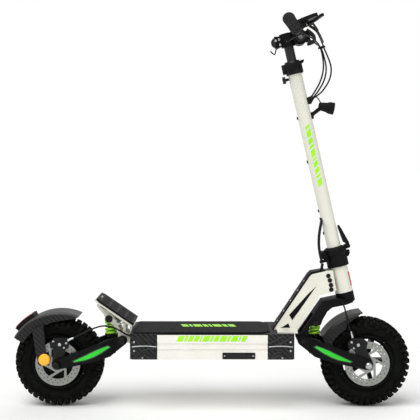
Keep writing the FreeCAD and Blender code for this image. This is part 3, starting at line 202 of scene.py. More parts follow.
def cable_mesh(name, routes, radius, finish):
    """Smooth sheathed cables: NURBS lines through given control points, made a mesh."""
    curve = bpy.data.curves.new(name, "CURVE")
    curve.dimensions = "3D"
    curve.bevel_depth = radius * MM
    curve.bevel_resolution = 4
    curve.resolution_u = 14
    curve.use_fill_caps = True
    for route in routes:
        spline = curve.splines.new("NURBS")
        spline.points.add(len(route) - 1)
        for point, spot in zip(spline.points, route):
            point.co = (spot[0] * MM, spot[1] * MM, spot[2] * MM, 1)
        spline.order_u = 3
        spline.use_endpoint_u = True
    line = bpy.data.objects.new(name + "_line", curve)
    bpy.context.scene.collection.objects.link(line)
    bpy.context.view_layer.update()
    mesh = bpy.data.meshes.new_from_object(line.evaluated_get(bpy.context.evaluated_depsgraph_get()))
    bpy.data.objects.remove(line)
    mesh.name = name
    mesh.shade_smooth()
    mesh.set_sharp_from_angle(angle=math.radians(50))
    mesh.materials.clear()
    mesh.materials.append(finish)
    piece = bpy.data.objects.new(name, mesh)
    bpy.context.scene.collection.objects.link(piece)
    return piece


# ------------------------------------------------------------------ finishes

def linear(code):
    """An sRGB hex colour as linear light."""
    shown = np.array([int(code[i:i + 2], 16) for i in (1, 3, 5)]) / 255
    light = np.where(shown <= 0.04045, shown / 12.92, ((shown + 0.055) / 1.055) ** 2.4)
    return (*light.tolist(), 1.0)


def node(tree, kind, inputs=(), **settings):
    """Add one node: its own settings, and each socket's value or the socket that feeds it."""
    made = tree.nodes.new(kind)
    for field, value in settings.items():
        setattr(made, field, value)
    for socket, source in dict(inputs).items():
        if isinstance(source, bpy.types.NodeSocket):
            tree.links.new(source, made.inputs[socket])
        else:
            made.inputs[socket].default_value = source
    return made


def blank(name, **sockets):
    """A material with its shader's own values set, and its Object coordinates in millimetres."""
    material = bpy.data.materials.new(name)
    material.use_nodes = True
    tree = material.node_tree
    shader = tree.nodes["Principled BSDF"]
    for socket, value in sockets.items():
        shader.inputs[socket.replace("_", " ")].default_value = value
    place = node(tree, "ShaderNodeTexCoord")
    scaled = node(tree, "ShaderNodeVectorMath", {0: place.outputs["Object"], 1: (1000, 1000, 1000)},
                  operation="MULTIPLY")
    return material, tree, shader, scaled.outputs[0]


def grained(name, dark, light, grain, roughness, bump=0.0, stretch=(1, 1, 1), mottle=60, **sockets):
    """A finish with a fine grain of the given size and a broad, faint mottle of its colour."""
    material, tree, shader, place = blank(name, **sockets)
    slanted = node(tree, "ShaderNodeMapping", {"Vector": place, "Scale": stretch})
    fine = node(tree, "ShaderNodeTexNoise", {"Vector": slanted.outputs[0], "Scale": 1 / grain,
                                             "Detail": 3.0, "Roughness": 0.6})
    broad = node(tree, "ShaderNodeTexNoise", {"Vector": place, "Scale": 1 / mottle, "Detail": 2.0})
    mixed = node(tree, "ShaderNodeMath", {0: fine.outputs["Fac"], 1: broad.outputs["Fac"]},
                 operation="MULTIPLY")
    ramp = node(tree, "ShaderNodeValToRGB", {"Fac": mixed.outputs[0]})
    ramp.color_ramp.elements[0].position, ramp.color_ramp.elements[0].color = 0.12, linear(dark)
    ramp.color_ramp.elements[1].position, ramp.color_ramp.elements[1].color = 0.42, linear(light)
    tree.links.new(ramp.outputs["Color"], shader.inputs["Base Color"])
    rough = node(tree, "ShaderNodeMapRange", {"Value": fine.outputs["Fac"], "From Min": 0.3, "From Max": 0.7,
                                              "To Min": roughness[0], "To Max": roughness[1]})
    tree.links.new(rough.outputs[0], shader.inputs["Roughness"])
    if bump:
        relief = node(tree, "ShaderNodeBump", {"Height": fine.outputs["Fac"], "Distance": bump * MM,
                                               "Strength": 0.8})
        tree.links.new(relief.outputs[0], shader.inputs["Normal"])
    return material


# Powder-coated aluminium: a thick baked skin, satin, with the slight orange peel of sprayed powder.
white_coat = grained("white_powder_coat", "#DBDACD", "#E4E3D6", 1.4, (0.30, 0.42), 0.05,
                     IOR=1.5, Coat_Weight=0.25, Coat_Roughness=0.18)
# The deck's extruded walls: the same coat, a shade brighter and smoother.
wall_coat = grained("white_coated_extrusion", "#E4E2D9", "#EDEBE3", 1.4, (0.26, 0.36), 0.03,
                    stretch=(0.2, 1, 1), IOR=1.5, Coat_Weight=0.3, Coat_Roughness=0.15)
# Fine-textured black powder coat on the arms, fork and crown: a dry, slightly sparkling skin.
black_coat = grained("black_textured_powder_coat", "#060607", "#0E0E10", 0.9, (0.42, 0.6), 0.06, IOR=1.45,
                      Specular_IOR_Level=0.14)
# Black anodised aluminium on the clamps: smooth, with a soft metallic sheen under the dye.
black_anodised = grained("black_anodised_aluminium", "#0C0C0D", "#19191B", 1.2, (0.3, 0.42), 0.02,
                         Metallic=0.55)
# The sliding tube: anodised dark grey, drawn lengthways.
tube_anodised = grained("grey_anodised_tube", "#242425", "#343435", 0.8, (0.3, 0.45), 0.03,
                        stretch=(1, 1, 0.04), Metallic=0.6)
# Injection-moulded ABS with a fine spark-eroded texture: dull and even.
black_abs = grained("moulded_black_abs", "#0A0A0B", "#141416", 0.7, (0.45, 0.6), 0.05, IOR=1.46,
                     Specular_IOR_Level=0.15)
# Glass-filled nylon on levers and catches: a little glossier than the ABS.
black_nylon = grained("glass_filled_nylon", "#080809", "#101012", 1.0, (0.35, 0.5), 0.03, IOR=1.5,
                       Specular_IOR_Level=0.15)
# Cured tyre rubber: deep black, dusty in the grain, no gloss.
tyre_rubber = grained("cured_tyre_rubber", "#070706", "#131312", 1.6, (0.68, 0.85), 0.12, mottle=35, IOR=1.4,
                       Specular_IOR_Level=0.12)
# Soft grip rubber: warmer and a little lighter than the tyre.
grip_rubber = grained("soft_grip_rubber", "#1A1A1B", "#2A2A2B", 1.1, (0.6, 0.75), 0.06, IOR=1.42,
                       Specular_IOR_Level=0.25)
# PVC cable sheath, extruded: smooth, semi-gloss.
sheath = grained("extruded_pvc_sheath", "#0B0B0B", "#141414", 1.5, (0.35, 0.48), 0.02, IOR=1.5,
                 Specular_IOR_Level=0.2)
# Zinc-plated steel screws: bright, slightly blue, with fine turning marks.
zinc = grained("zinc_plated_steel", "#A9ABAD", "#D3D5D6", 0.6, (0.22, 0.36), 0.01, Metallic=1.0)
# Black oxide steel screws: dark, oily and smooth.
black_oxide = grained("black_oxide_steel", "#0E0E0F", "#1C1C1E", 0.6, (0.3, 0.42), 0.01, Metallic=0.7)
# Machined aluminium on the corner strips and the footrest's bar.
raw_alloy = grained("machined_aluminium", "#9C9E9F", "#C6C8C8", 0.5, (0.28, 0.42), 0.02, Metallic=1.0)
# Spring steel under a bright polyester powder coat.
spring_coat = grained("yellow_green_spring_coat", "#8EDC1C", "#ADF534", 2.0, (0.26, 0.36), 0.03, IOR=1.5,
                      Coat_Weight=0.4, Coat_Roughness=0.12)
# Moulded polycarbonate inserts in the arms: saturated green all through.
insert_green = grained("green_polycarbonate_insert", "#05B412", "#10D620", 2.5, (0.28, 0.4), 0.02, IOR=1.58)
# Cut vinyl film: flat, even lime with a soft gloss.
lime_vinyl = grained("cut_lime_vinyl", "#93E60C", "#A9F21C", 3.0, (0.3, 0.38), 0.0, IOR=1.47)
# Shrink wrap round the battery, inside the deck.
battery_wrap = grained("blue_shrink_wrap", "#12305E", "#1C4480", 3.0, (0.25, 0.4), 0.05, IOR=1.5)
# EPDM rubber on the kickstand tip and plate gaskets.
gasket = grained("epdm_gasket", "#0B0B0B", "#151515", 1.2, (0.6, 0.75), 0.05, IOR=1.42)


def carbon_weave(name, dark, light, top=None, top_half=50.0):
    """Water-transfer carbon pattern under gloss lacquer: a 2 x 2 twill of 4 mm tows, drawn
    coarse enough to show. With a top colour, the skin nearer the centre plane than top_half
    is plain satin coat."""
    material, tree, shader, place = blank(name, IOR=1.5, Coat_Weight=0.12, Coat_Roughness=0.25,
                                          Specular_IOR_Level=0.15)
    parts = node(tree, "ShaderNodeSeparateXYZ", {0: place})
    wide = node(tree, "ShaderNodeMath", {0: parts.outputs["X"], 1: parts.outputs["Y"]}, operation="ADD")
    rows = node(tree, "ShaderNodeMath", {0: parts.outputs["Z"], 1: 4.0}, operation="DIVIDE")
    columns = node(tree, "ShaderNodeMath", {0: wide.outputs[0], 1: 4.0}, operation="DIVIDE")
    row_step = node(tree, "ShaderNodeMath", {0: rows.outputs[0]}, operation="FLOOR")
    column_step = node(tree, "ShaderNodeMath", {0: columns.outputs[0]}, operation="FLOOR")
    diagonal = node(tree, "ShaderNodeMath", {0: row_step.outputs[0], 1: column_step.outputs[0]},
                    operation="ADD")
    quarter = node(tree, "ShaderNodeMath", {0: diagonal.outputs[0], 1: 4.0}, operation="FLOORED_MODULO")
    warp = node(tree, "ShaderNodeMath", {0: quarter.outputs[0], 1: 1.5}, operation="GREATER_THAN")
    ramp = node(tree, "ShaderNodeValToRGB", {"Fac": warp.outputs[0]})
    ramp.color_ramp.elements[0].color, ramp.color_ramp.elements[1].color = linear(dark), linear(light)
    colour = ramp.outputs["Color"]
    if top:
        reach = node(tree, "ShaderNodeMath", {0: parts.outputs["Y"]}, operation="ABSOLUTE")
        plain = node(tree, "ShaderNodeMath", {0: reach.outputs[0], 1: top_half}, operation="LESS_THAN")
        colour = node(tree, "ShaderNodeMixRGB", {0: plain.outputs[0], 1: colour, 2: linear(top)}).outputs[0]
    tree.links.new(colour, shader.inputs["Base Color"])
    rough = node(tree, "ShaderNodeMapRange", {"Value": warp.outputs[0], "To Min": 0.5, "To Max": 0.32})
    tree.links.new(rough.outputs[0], shader.inputs["Roughness"])
    crown = node(tree, "ShaderNodeMath", {0: rows.outputs[0], 1: 0.5}, operation="PINGPONG")
    relief = node(tree, "ShaderNodeBump", {"Height": crown.outputs[0], "Distance": 0.25 * MM, "Strength": 0.5})
    tree.links.new(relief.outputs[0], shader.inputs["Normal"])
    return material


def deck_rubber():
    """Moulded rubber mat: raised diamonds 9 mm apart over a fine grain."""
    material, tree, shader, place = blank("moulded_rubber_mat", IOR=1.42, Specular_IOR_Level=0.15)
    parts = node(tree, "ShaderNodeSeparateXYZ", {0: place})
    total = node(tree, "ShaderNodeMath", {0: parts.outputs["X"], 1: parts.outputs["Y"]}, operation="ADD")
    spare = node(tree, "ShaderNodeMath", {0: parts.outputs["X"], 1: parts.outputs["Y"]}, operation="SUBTRACT")
    one = node(tree, "ShaderNodeMath", {0: total.outputs[0], 1: 4.5}, operation="PINGPONG")
    two = node(tree, "ShaderNodeMath", {0: spare.outputs[0], 1: 4.5}, operation="PINGPONG")
    both = node(tree, "ShaderNodeMath", {0: one.outputs[0], 1: two.outputs[0]}, operation="MINIMUM")
    raised = node(tree, "ShaderNodeMapRange", {"Value": both.outputs[0], "From Min": 0.8, "From Max": 1.6})
    fine = node(tree, "ShaderNodeTexNoise", {"Vector": place, "Scale": 0.9, "Detail": 3.0})
    grit = node(tree, "ShaderNodeMath", {0: fine.outputs["Fac"], 1: 0.35, 2: raised.outputs[0]},
                operation="MULTIPLY_ADD")
    ramp = node(tree, "ShaderNodeValToRGB", {"Fac": grit.outputs[0]})
    ramp.color_ramp.elements[0].color, ramp.color_ramp.elements[1].color = linear("#080808"), linear("#161616")
    tree.links.new(ramp.outputs["Color"], shader.inputs["Base Color"])
    rough = node(tree, "ShaderNodeMapRange", {"Value": fine.outputs["Fac"], "To Min": 0.5, "To Max": 0.8})
    tree.links.new(rough.outputs[0], shader.inputs["Roughness"])
    relief = node(tree, "ShaderNodeBump", {"Height": grit.outputs[0], "Distance": 0.8 * MM, "Strength": 0.7})
    tree.links.new(relief.outputs[0], shader.inputs["Normal"])
    return material


def ground_steel(name, x):
    """Stainless brake disc, ground flat: fine rings about the axle at x."""
    material, tree, shader, place = blank(name, Metallic=1.0)
    centred = node(tree, "ShaderNodeVectorMath", {0: place, 1: (x, 0, AXLE_Z)}, operation="SUBTRACT")
    level = node(tree, "ShaderNodeVectorMath", {0: centred.outputs[0], 1: (1, 0, 1)}, operation="MULTIPLY")
    reach = node(tree, "ShaderNodeVectorMath", {0: level.outputs[0]}, operation="LENGTH")
    rings = node(tree, "ShaderNodeTexNoise", {"W": reach.outputs["Value"], "Scale": 1.1, "Detail": 4.0},
                 noise_dimensions="1D")
    ramp = node(tree, "ShaderNodeValToRGB", {"Fac": rings.outputs["Fac"]})
    ramp.color_ramp.elements[0].position, ramp.color_ramp.elements[0].color = 0.3, linear("#7E807B")
    ramp.color_ramp.elements[1].position, ramp.color_ramp.elements[1].color = 0.7, linear("#A9AAA6")
    tree.links.new(ramp.outputs["Color"], shader.inputs["Base Color"])
    rough = node(tree, "ShaderNodeMapRange", {"Value": rings.outputs["Fac"], "To Min": 0.25, "To Max": 0.5})
    tree.links.new(rough.outputs[0], shader.inputs["Roughness"])
    relief = node(tree, "ShaderNodeBump", {"Height": rings.outputs["Fac"], "Distance": 0.05 * MM})
    tree.links.new(relief.outputs[0], shader.inputs["Normal"])
    return material


def prism_lens(name, dark, light, painted_glow=0.0):
    """Moulded acrylic reflector: small square prisms 4 mm apart behind a clear skin. Its painted_glow makes the
    lens give off faint light in its own light colour though nothing lights it: a painted glow.
    """
    material, tree, shader, place = blank(name, IOR=1.49, Coat_Weight=0.6, Coat_Roughness=0.05,
                                          Emission_Strength=painted_glow)
    shader.inputs["Emission Color"].default_value = linear(light)
    cells = node(tree, "ShaderNodeTexVoronoi", {"Vector": place, "Scale": 0.25, "Randomness": 0.0})
    ramp = node(tree, "ShaderNodeValToRGB", {"Fac": cells.outputs["Distance"]})
    ramp.color_ramp.elements[0].color, ramp.color_ramp.elements[1].color = linear(light), linear(dark)
    tree.links.new(ramp.outputs["Color"], shader.inputs["Base Color"])
    shader.inputs["Roughness"].default_value = 0.2
    relief = node(tree, "ShaderNodeBump", {"Height": cells.outputs["Distance"], "Distance": 0.6 * MM,
                                           "Strength": 0.6})
    tree.links.new(relief.outputs[0], shader.inputs["Normal"])
    return material


def clear_lens():
    """Clear polycarbonate lamp lens with faint vertical flutes."""
    material, tree, shader, place = blank("fluted_clear_lens", IOR=1.58, Roughness=0.08)
    shader.inputs["Base Color"].default_value = linear("#DDE6EA")
    shader.inputs["Transmission Weight"].default_value = 0.6
    parts = node(tree, "ShaderNodeSeparateXYZ", {0: place})
    flutes = node(tree, "ShaderNodeMath", {0: parts.outputs["Y"], 1: 2.0}, operation="PINGPONG")
    relief = node(tree, "ShaderNodeBump", {"Height": flutes.outputs[0], "Distance": 0.5 * MM, "Strength": 0.4})
    tree.links.new(relief.outputs[0], shader.inputs["Normal"])
    return material


weave = carbon_weave("lacquered_carbon_weave", "#0D0D0D", "#2B2B2B")
front_shell = carbon_weave("front_fender_skin", "#111111", "#1F1F1F", "#1E1D1B")
rear_shell = carbon_weave("rear_fender_skin", "#131313", "#252525", "#424242")
mat_rubber = deck_rubber()
front_steel, rear_steel = ground_steel("ground_disc_front", AXLE_X), ground_steel("ground_disc_rear", -AXLE_X)
# Both lenses get a faint painted glow: the amber side reflectors and the red head reflector shine though they
# are no lamps.
amber_lens = prism_lens("amber_acrylic_reflector", "#E89A00", "#FFB80E", 0.12)
red_lens = prism_lens("red_acrylic_lens", "#8E0D08", "#D02A18", 0.05)
lamp_lens = clear_lens()
# Tempered cover glass over a dark panel: near-black, mirror smooth, faintly smudged.
cover_glass = grained("smoked_cover_glass", "#050607", "#0A0C0E", 12, (0.04, 0.12), 0.0, IOR=1.52,
                      Coat_Weight=1.0, Coat_Roughness=0.03)

NODE_FINISH = {
    white_coat: ["stem_tube", "head_tube", "neck_plates", "rear_bracket"],
    wall_coat: ["deck_frame"],
    black_coat: ["front_arm", "rear_arm", "fork", "fold_yoke", "steerer", "deck_lid", "neck_core",
                 "stem_head", "front_hub", "rear_hub", "kickstand"],
    black_anodised: ["clamp_collar", "front_caliper", "rear_caliper", "index_plunger"],
    tube_anodised: ["inner_tube", "handlebar"],
    black_abs: ["display", "control_pods", "headlight", "tail_light", "motor_controller", "footrest"],
    black_nylon: ["collar_lever", "fold_latch", "throttle", "brake_lever_left", "brake_lever_right"],
    weave: ["corner_blocks"],
    front_shell: ["front_fender"],
    rear_shell: ["rear_fender"],
    mat_rubber: ["deck_mat"],
    zinc: ["front_axle", "headset_bearings"],
    black_oxide: ["rear_axle", "front_caliper_arm", "rear_caliper_arm", "front_shock_body", "rear_shock_body",
                  "front_shock_rod", "rear_shock_rod"],
    front_steel: ["front_rotor"],
    rear_steel: ["rear_rotor"],
    battery_wrap: ["battery_pack"],
    red_lens: ["power_button"],
}
for finish, names in NODE_FINISH.items():
    for name in names:
        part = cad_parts[name]
        part.data.materials.clear()
        part.data.materials.append(finish)


# ------------------------------------------------------------------ tyres

TYRE_SECTION = np.array([(0, 131.0), (12, 130.7), (24, 129.2), (33, 125.8), (38.5, 120.4), (41.6, 113.4),
                         (42.2, 106), (40.6, 98), (37.2, 91), (33.8, 86.6), (32, 84.4)], float)
TYRE_LINING = np.array([(27, 84.4), (28.5, 91), (33, 99), (35, 107), (33, 117), (27, 123), (0, 126.5)], float)


def section_at(along):
    """The tyre's section and outward normal at a distance along it from the crown's middle."""
    half = TYRE_SECTION
    steps = np.concatenate([[0], np.cumsum(np.linalg.norm(np.diff(half, axis=0), axis=1))])
    size = np.abs(along)
    spot = np.stack([np.interp(size, steps, half[:, 0]), np.interp(size, steps, half[:, 1])], -1)
    ahead = np.stack([np.interp(size + 1.5, steps, half[:, 0]), np.interp(size + 1.5, steps, half[:, 1])], -1)
    behind = np.stack([np.interp(size - 1.5, steps, half[:, 0]), np.interp(size - 1.5, steps, half[:, 1])], -1)
    slope = ahead - behind
    normal = np.stack([-slope[..., 1], slope[..., 0]], -1)
    normal = normal / np.linalg.norm(normal, axis=-1)[..., None]
    flip = np.stack([np.where(along < 0, -1.0, 1.0), np.ones_like(size)], -1)
    return spot * flip, normal * flip


def knobs(count, shift, middle, half_wide, half_turn, height, slant=0.0):
    """A ring of tread blocks: each is a patch of the section lifted by its height, with
    chamfered edges and a floor, repeated round the wheel."""
    rim = np.array([-1, -1, -0.8, -0.25, 0.25, 0.8, 1, 1])
    lift = np.array([-1.5, height - 1.2, height, height, height, height, height - 1.2, -1.5])
    turn_steps = np.array([-1, -1, -0.78, 0.78, 1, 1])
    turn_lift = np.array([-1.5, height - 1.2, height, height, height - 1.2, -1.5])
    along = middle + rim[None, :, None] * half_wide
    level = np.minimum(lift[None, :, None], turn_lift[None, None, :])
    angle = (np.arange(count)[:, None, None] + shift) * 2 * math.pi / count
    angle = angle + turn_steps[None, None, :] * half_turn + rim[None, :, None] * slant
    spot, normal = section_at(np.broadcast_to(along, np.broadcast(along, level).shape))
    place = spot + normal * level[..., None]
    radius, wide = place[..., 1], place[..., 0]
    shape = np.broadcast(radius, angle).shape
    points = np.stack([np.broadcast_to(radius, shape) * np.cos(angle), np.broadcast_to(wide, shape),
                       np.broadcast_to(radius, shape) * np.sin(angle)], -1).reshape(count, -1, 3)
    rows, columns = len(rim), len(turn_steps)
    patch = grid_faces(rows, columns).tolist()
    border = (list(range(columns)) + [r * columns + columns - 1 for r in range(1, rows)]
              + [(rows - 1) * columns + i for i in range(columns - 2, -1, -1)]
              + [r * columns for r in range(rows - 2, 0, -1)])
    return [(block, patch + [border]) for block in points]


def make_tyre(name, x, body, node_name):
    """A carcass turned about the axle, its sidewall ringed by two moulded beads, with five
    rows of blocks."""
    outer = np.concatenate([TYRE_SECTION[::-1] * [-1, 1], TYRE_SECTION[1:]])
    lining = np.concatenate([TYRE_LINING, TYRE_LINING[-2::-1] * [-1, 1]])
    steps = np.concatenate([[0], np.cumsum(np.linalg.norm(np.diff(outer, axis=0), axis=1))])
    fine = np.linspace(0, steps[-1], 97)
    outer = np.stack([np.interp(fine, steps, outer[:, 0]), np.interp(fine, steps, outer[:, 1])], -1)
    rings = (np.exp(-((outer[:, 1] - 93.5) / 1.1) ** 2) + np.exp(-((outer[:, 1] - 108) / 0.9) ** 2))
    outer[:, 0] += np.sign(outer[:, 0]) * rings * 0.9
    section = np.concatenate([outer, lining])
    angle = np.linspace(0, 2 * math.pi, 160, endpoint=False)[:, None]
    carcass = np.stack([section[:, 1] * np.cos(angle), np.broadcast_to(section[:, 0], (160, len(section))),
                        section[:, 1] * np.sin(angle)], -1)
    parts = [(carcass, grid_faces(160, len(section), True, True))]
    parts += knobs(40, 0.0, 0, 7.5, 0.047, 8.8, 0.012)
    for side in (-1, 1):
        parts += knobs(40, 0.12, side * 19.5, 8, 0.047, 9.0, side * 0.018)
        parts += knobs(20, 0.12, side * 41.5, 9.5, 0.050, 7.8)
        parts += knobs(20, 0.62, side * 39, 7, 0.050, 8.0)
        parts += knobs(80, 0.25, side * 57.5, 2.2, 0.014, 1.4)
    points, faces = heap(parts)
    tyre = add_piece(name, points + [x, 0, AXLE_Z], faces, tyre_rubber, body, 30)
    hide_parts(node_name)


make_tyre("knobbly_tyre_front", AXLE_X, "front_wheel", "front_tyre")
make_tyre("knobbly_tyre_rear", -AXLE_X, "rear_wheel", "rear_tyre")


# ------------------------------------------------------------------ wheels and brakes

def wheel_hardware(end, x):
    """Bolts of the disc and hub, a valve and the axle's end caps."""
    ring = np.linspace(0, 2 * math.pi, 6, endpoint=False) + 0.3
    parts = [bolt((x + 16.2 * math.cos(a), -58, AXLE_Z + 16.2 * math.sin(a)), (0, -1, 0), 3.4, 2.4)
             for a in ring]
    add_piece(f"{end}_disc_bolts", *heap(parts), zinc, f"{end}_wheel")
    cover = 44 if end == "front" else 40
    reach = 19 if end == "front" else 56
    count = 6 if end == "front" else 10
    ring = np.linspace(0, 2 * math.pi, count, endpoint=False) + 0.2
    sides = (1,) if end == "front" else (-1, 1)
    parts = [bolt((x + reach * math.cos(a), side * cover, AXLE_Z + reach * math.sin(a)), (0, side, 0), 3.6, 2.6)
             for a in ring for side in sides]
    add_piece(f"{end}_hub_bolts", *heap(parts), zinc if end == "front" else black_oxide, f"{end}_wheel")
    valve = turned([(0, 0), (3.2, 0), (3.2, 6), (2.6, 7), (2.6, 19), (3.4, 20), (3.4, 28), (2.4, 30), (0, 30)],
                   (x + 60, 20, AXLE_Z + 49), (-0.62, 0.35, -0.7), 20)
    add_piece(f"{end}_valve", *valve, black_nylon, f"{end}_wheel")
    cap = [(0, 9.5), (4, 9.2), (8.4, 7.8), (10.6, 5), (11.4, 1.5), (11.4, -8.2), (0, -8.2)]
    parts = [turned(cap, (x, side * 90.2, AXLE_Z), (0, side, 0), 36) for side in (-1, 1)]
    add_piece(f"{end}_axle_caps", *heap(parts), zinc if end == "front" else black_oxide, f"{end}_arm")


wheel_hardware("front", AXLE_X)
wheel_hardware("rear", -AXLE_X)


def make_spring(end, x, low, high, turns):
    """A wire wound about the shock: the helix x + r cos a, r sin a, rising with the turn,
    its ends wound flat."""
    angle = np.linspace(0, turns * 2 * math.pi, int(turns * 40) + 1)
    share = angle / angle[-1]
    flat = 0.5 / turns
    rise = np.clip((share - flat) / (1 - 2 * flat), 0, 1)
    wire = 4.1
    line = np.stack([x + 15.9 * np.cos(angle), 15.9 * np.sin(angle),
                     low + wire + rise * (high - low - 2 * wire)], -1)
    along = np.gradient(line, axis=0)
    along = along / np.linalg.norm(along, axis=1)[:, None]
    out = np.stack([np.cos(angle), np.sin(angle), 0 * angle], -1)
    up = np.cross(along, out)
    turn = np.linspace(0, 2 * math.pi, 14, endpoint=False)[None, :, None]
    tube = line[:, None] + wire * (np.cos(turn) * out[:, None] + np.sin(turn) * up[:, None])
    faces = grid_faces(len(angle), 14, round_columns=True).tolist()
    last = (len(angle) - 1) * 14
    faces += [list(range(14)), list(range(last, last + 14))]
    spring = add_piece(f"{end}_coil_spring", tube, faces, spring_coat, None)
    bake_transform(spring)
    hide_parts(f"{end}_spring")


make_spring("front", SHOCK_X, 223.4, 254.6, 3.1)
make_spring("rear", -SHOCK_X, 223.4, 270.6, 4.6)


def caliper_hardware(end, x, mid_x, mid_z, away):
    """Carrier bolts, the cam's bolt, the pad adjuster's screw and a black bracket."""
    face = -57 - 9
    parts = [bolt((x + mid_x - 20, face, AXLE_Z + mid_z + 8), (0, -1, 0), 4.2, 3.4),
             bolt((x + mid_x + 20, face, AXLE_Z + mid_z + 4), (0, -1, 0), 4.2, 3.4),
             bolt((x + mid_x, face - 4.4, AXLE_Z + mid_z), (0, -1, 0), 5.2, 3.2),
             bolt((x + mid_x + away * 13, face, AXLE_Z + mid_z - 11), (0, -1, 0), 3.6, 3)]
    add_piece(f"{end}_caliper_bolts", *heap(parts), zinc, f"{end}_arm")
    px, pz = x + mid_x, AXLE_Z + mid_z
    outline = [(px - away * 27, pz - 12), (px - away * 27, pz + 4), (px - away * 20, pz + 8),
               (px - away * 12, pz + 6), (px - away * 12, pz - 3), (px - away * 18, pz - 12)]
    add_piece(f"{end}_caliper_bracket", *side_plate(outline, 66.3, 69.5, 0.5, (-1,)),
              black_anodised, f"{end}_arm")


caliper_hardware("front", AXLE_X, -30, 61, -1)
caliper_hardware("rear", -AXLE_X, 8, 62, 1)


# ------------------------------------------------------------------ cables

handlebar_cables = cable_mesh("brake_and_signal_cables", [
    [(301, -146, 1176), (317, -116, 1163), (332, -66, 1146), (345, -9, 1127), (358, -11, 1098),
     (371, -13, 1064), (368, -12, 1028), (350, -10, 996), (331, -8, 976), (308, -7, 962)],
    [(298, 146, 1176), (314, 112, 1162), (329, 60, 1144), (341, 5, 1124), (350, 8, 1096),
     (358, 9, 1062), (353, 8, 1028), (338, 8, 998), (322, 7, 976), (306, 7, 960)],
    [(273, -112, 1152), (296, -84, 1150), (320, -44, 1139), (337, -4, 1125), (344, -3, 1098),
     (348, -2, 1064), (342, -1, 1030), (328, 0, 998), (306, 0, 966)]], 2.5, sheath)
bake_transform(handlebar_cables)
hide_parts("handlebar_cables")
upper_loom = cable_mesh("stem_loom", [
    [(344, -8, 590), (338, -19, 566), (333, -28, 538), (332, -32, 510), (335, -32, 484),
     (340.8, -32, 460.8)]], 4.5, sheath)
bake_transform(upper_loom)
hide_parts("upper_loom")
lower_loom = cable_mesh("neck_loom", [[(343.4, -32, 450.2), (343.5, -29.5, 440), (340, -24, 430)]], 4.5, sheath)
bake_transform(lower_loom)
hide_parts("lower_loom")
front_cable = cable_mesh("front_brake_line", [
    [(404, -45, 334), (411, -52, 318), (416, -60, 292), (422, -67, 262), (429, -71, 243),
     (433, -73, 228)]], 2.5, sheath)
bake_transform(front_cable)
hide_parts("front_brake_cable")
rear_cable = cable_mesh("rear_brake_line", [
    [(-446, -73, 216), (-428, -71, 224), (-400, -69, 238), (-372, -66, 251), (-342, -62, 260),
     (-312, -57, 256), (-288, -52, 242), (-268, -48, 230), (-252, -45, 222)]], 2.5, sheath)
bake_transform(rear_cable)
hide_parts("rear_brake_cable")

ferrule = [(0, -2), (3.4, -2), (3.9, 0), (3.9, 9), (3.1, 10), (3.1, 17), (2.7, 18), (0, 18)]
add_piece("front_cable_ferrule", *turned(ferrule, (433.6, -73, 226), (-0.25, 0.12, 0.96), 20), zinc,
          "front_arm")
add_piece("rear_cable_ferrule", *turned(ferrule, (-447, -73, 215.6), (0.9, 0.1, 0.4), 20), zinc, "rear_arm")
boot = [(0, -8), (9, -8), (10.5, -4), (10.5, 3), (9, 8), (7.6, 12), (6.8, 16), (0, 16)]
tie = [(9.6, -3), (11.4, -3), (11.8, -2), (11.8, 2), (11.4, 3), (9.6, 3), (9.6, -3)]
points, faces = heap([turned(tie, (341, -2, 1125), (0.28, 0, -0.96), 28),
                      bolt((341, -14, 1125), (0, -1, 0), 3, 4)])
add_piece("cable_tie", points, faces, black_nylon, "telescope")
sleeve = cable_mesh("connector_sleeve", [[(302, -6, 1191), (320, -6, 1182), (335, -6, 1162), (344, -5, 1138)],
                                         [(296, 10, 1180), (306, 12, 1158), (296, 14, 1142), (284, 10, 1150)],
                                         [(292, -22, 1178), (314, -24, 1164), (318, -22, 1146),
                                          (304, -18, 1138), (290, -16, 1144)],
                                         [(290, 26, 1176), (316, 28, 1168), (324, 24, 1152),
                                          (316, 20, 1140), (298, 18, 1136)]],
                    4.4, gasket)
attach(sleeve, "telescope")
add_piece("cable_boot", *turned(boot, (303, 0, 960), (0.72, 0, 0.69), 28), gasket, "stem")


# ------------------------------------------------------------------ reflectors and lamps

dome = [(0, 5.6), (10, 5.3), (15.5, 4.6), (17.6, 3), (18.4, 0.6), (18.4, -1.5), (0, -1.5)]
points, faces = heap([turned(dome, (-522.5, side * 66.8, 153.5), (0, side, 0), 48) for side in (-1, 1)])
add_piece("amber_side_reflectors", points, faces, amber_lens, "rear_arm")

def closed_shell(points):
    """Faces of a curved plate given as rows x columns x (inner, outer): two skins and a rim."""
    rows, columns = points.shape[:2]
    flat = points.transpose(2, 0, 1, 3).reshape(-1, 3)
    skin = grid_faces(rows, columns)
    border = ([(0, c) for c in range(columns)] + [(r, columns - 1) for r in range(1, rows)]
              + [(rows - 1, c) for c in range(columns - 2, -1, -1)] + [(r, 0) for r in range(rows - 2, 0, -1)])
    edge = [r * columns + c for r, c in border]
    size = rows * columns
    walls = [[a, b, b + size, a + size] for a, b in zip(edge, edge[1:] + edge[:1])]
    return flat, skin.tolist() + (skin + size).tolist() + walls


def wrapped(turn, rise, shell, facing, beside):
    """Points of a shell bent about the stem: shell * (cos turn * facing + sin turn * beside),
    lifted by rise along the stem."""
    turn, rise, shell = np.broadcast_arrays(turn, rise, shell)
    return (STEM_FOOT + (shell * np.cos(turn))[..., None] * facing
            + (shell * np.sin(turn))[..., None] * beside + rise[..., None] * UP_STEM)


band = wrapped(np.linspace(-0.62, 0.62, 19)[:, None, None], np.linspace(16, 60, 9)[None, :, None],
               np.array([28.0, 29.2]), OFF_STEM, ACROSS)
add_piece("head_reflector", *closed_shell(band), red_lens, "chassis")

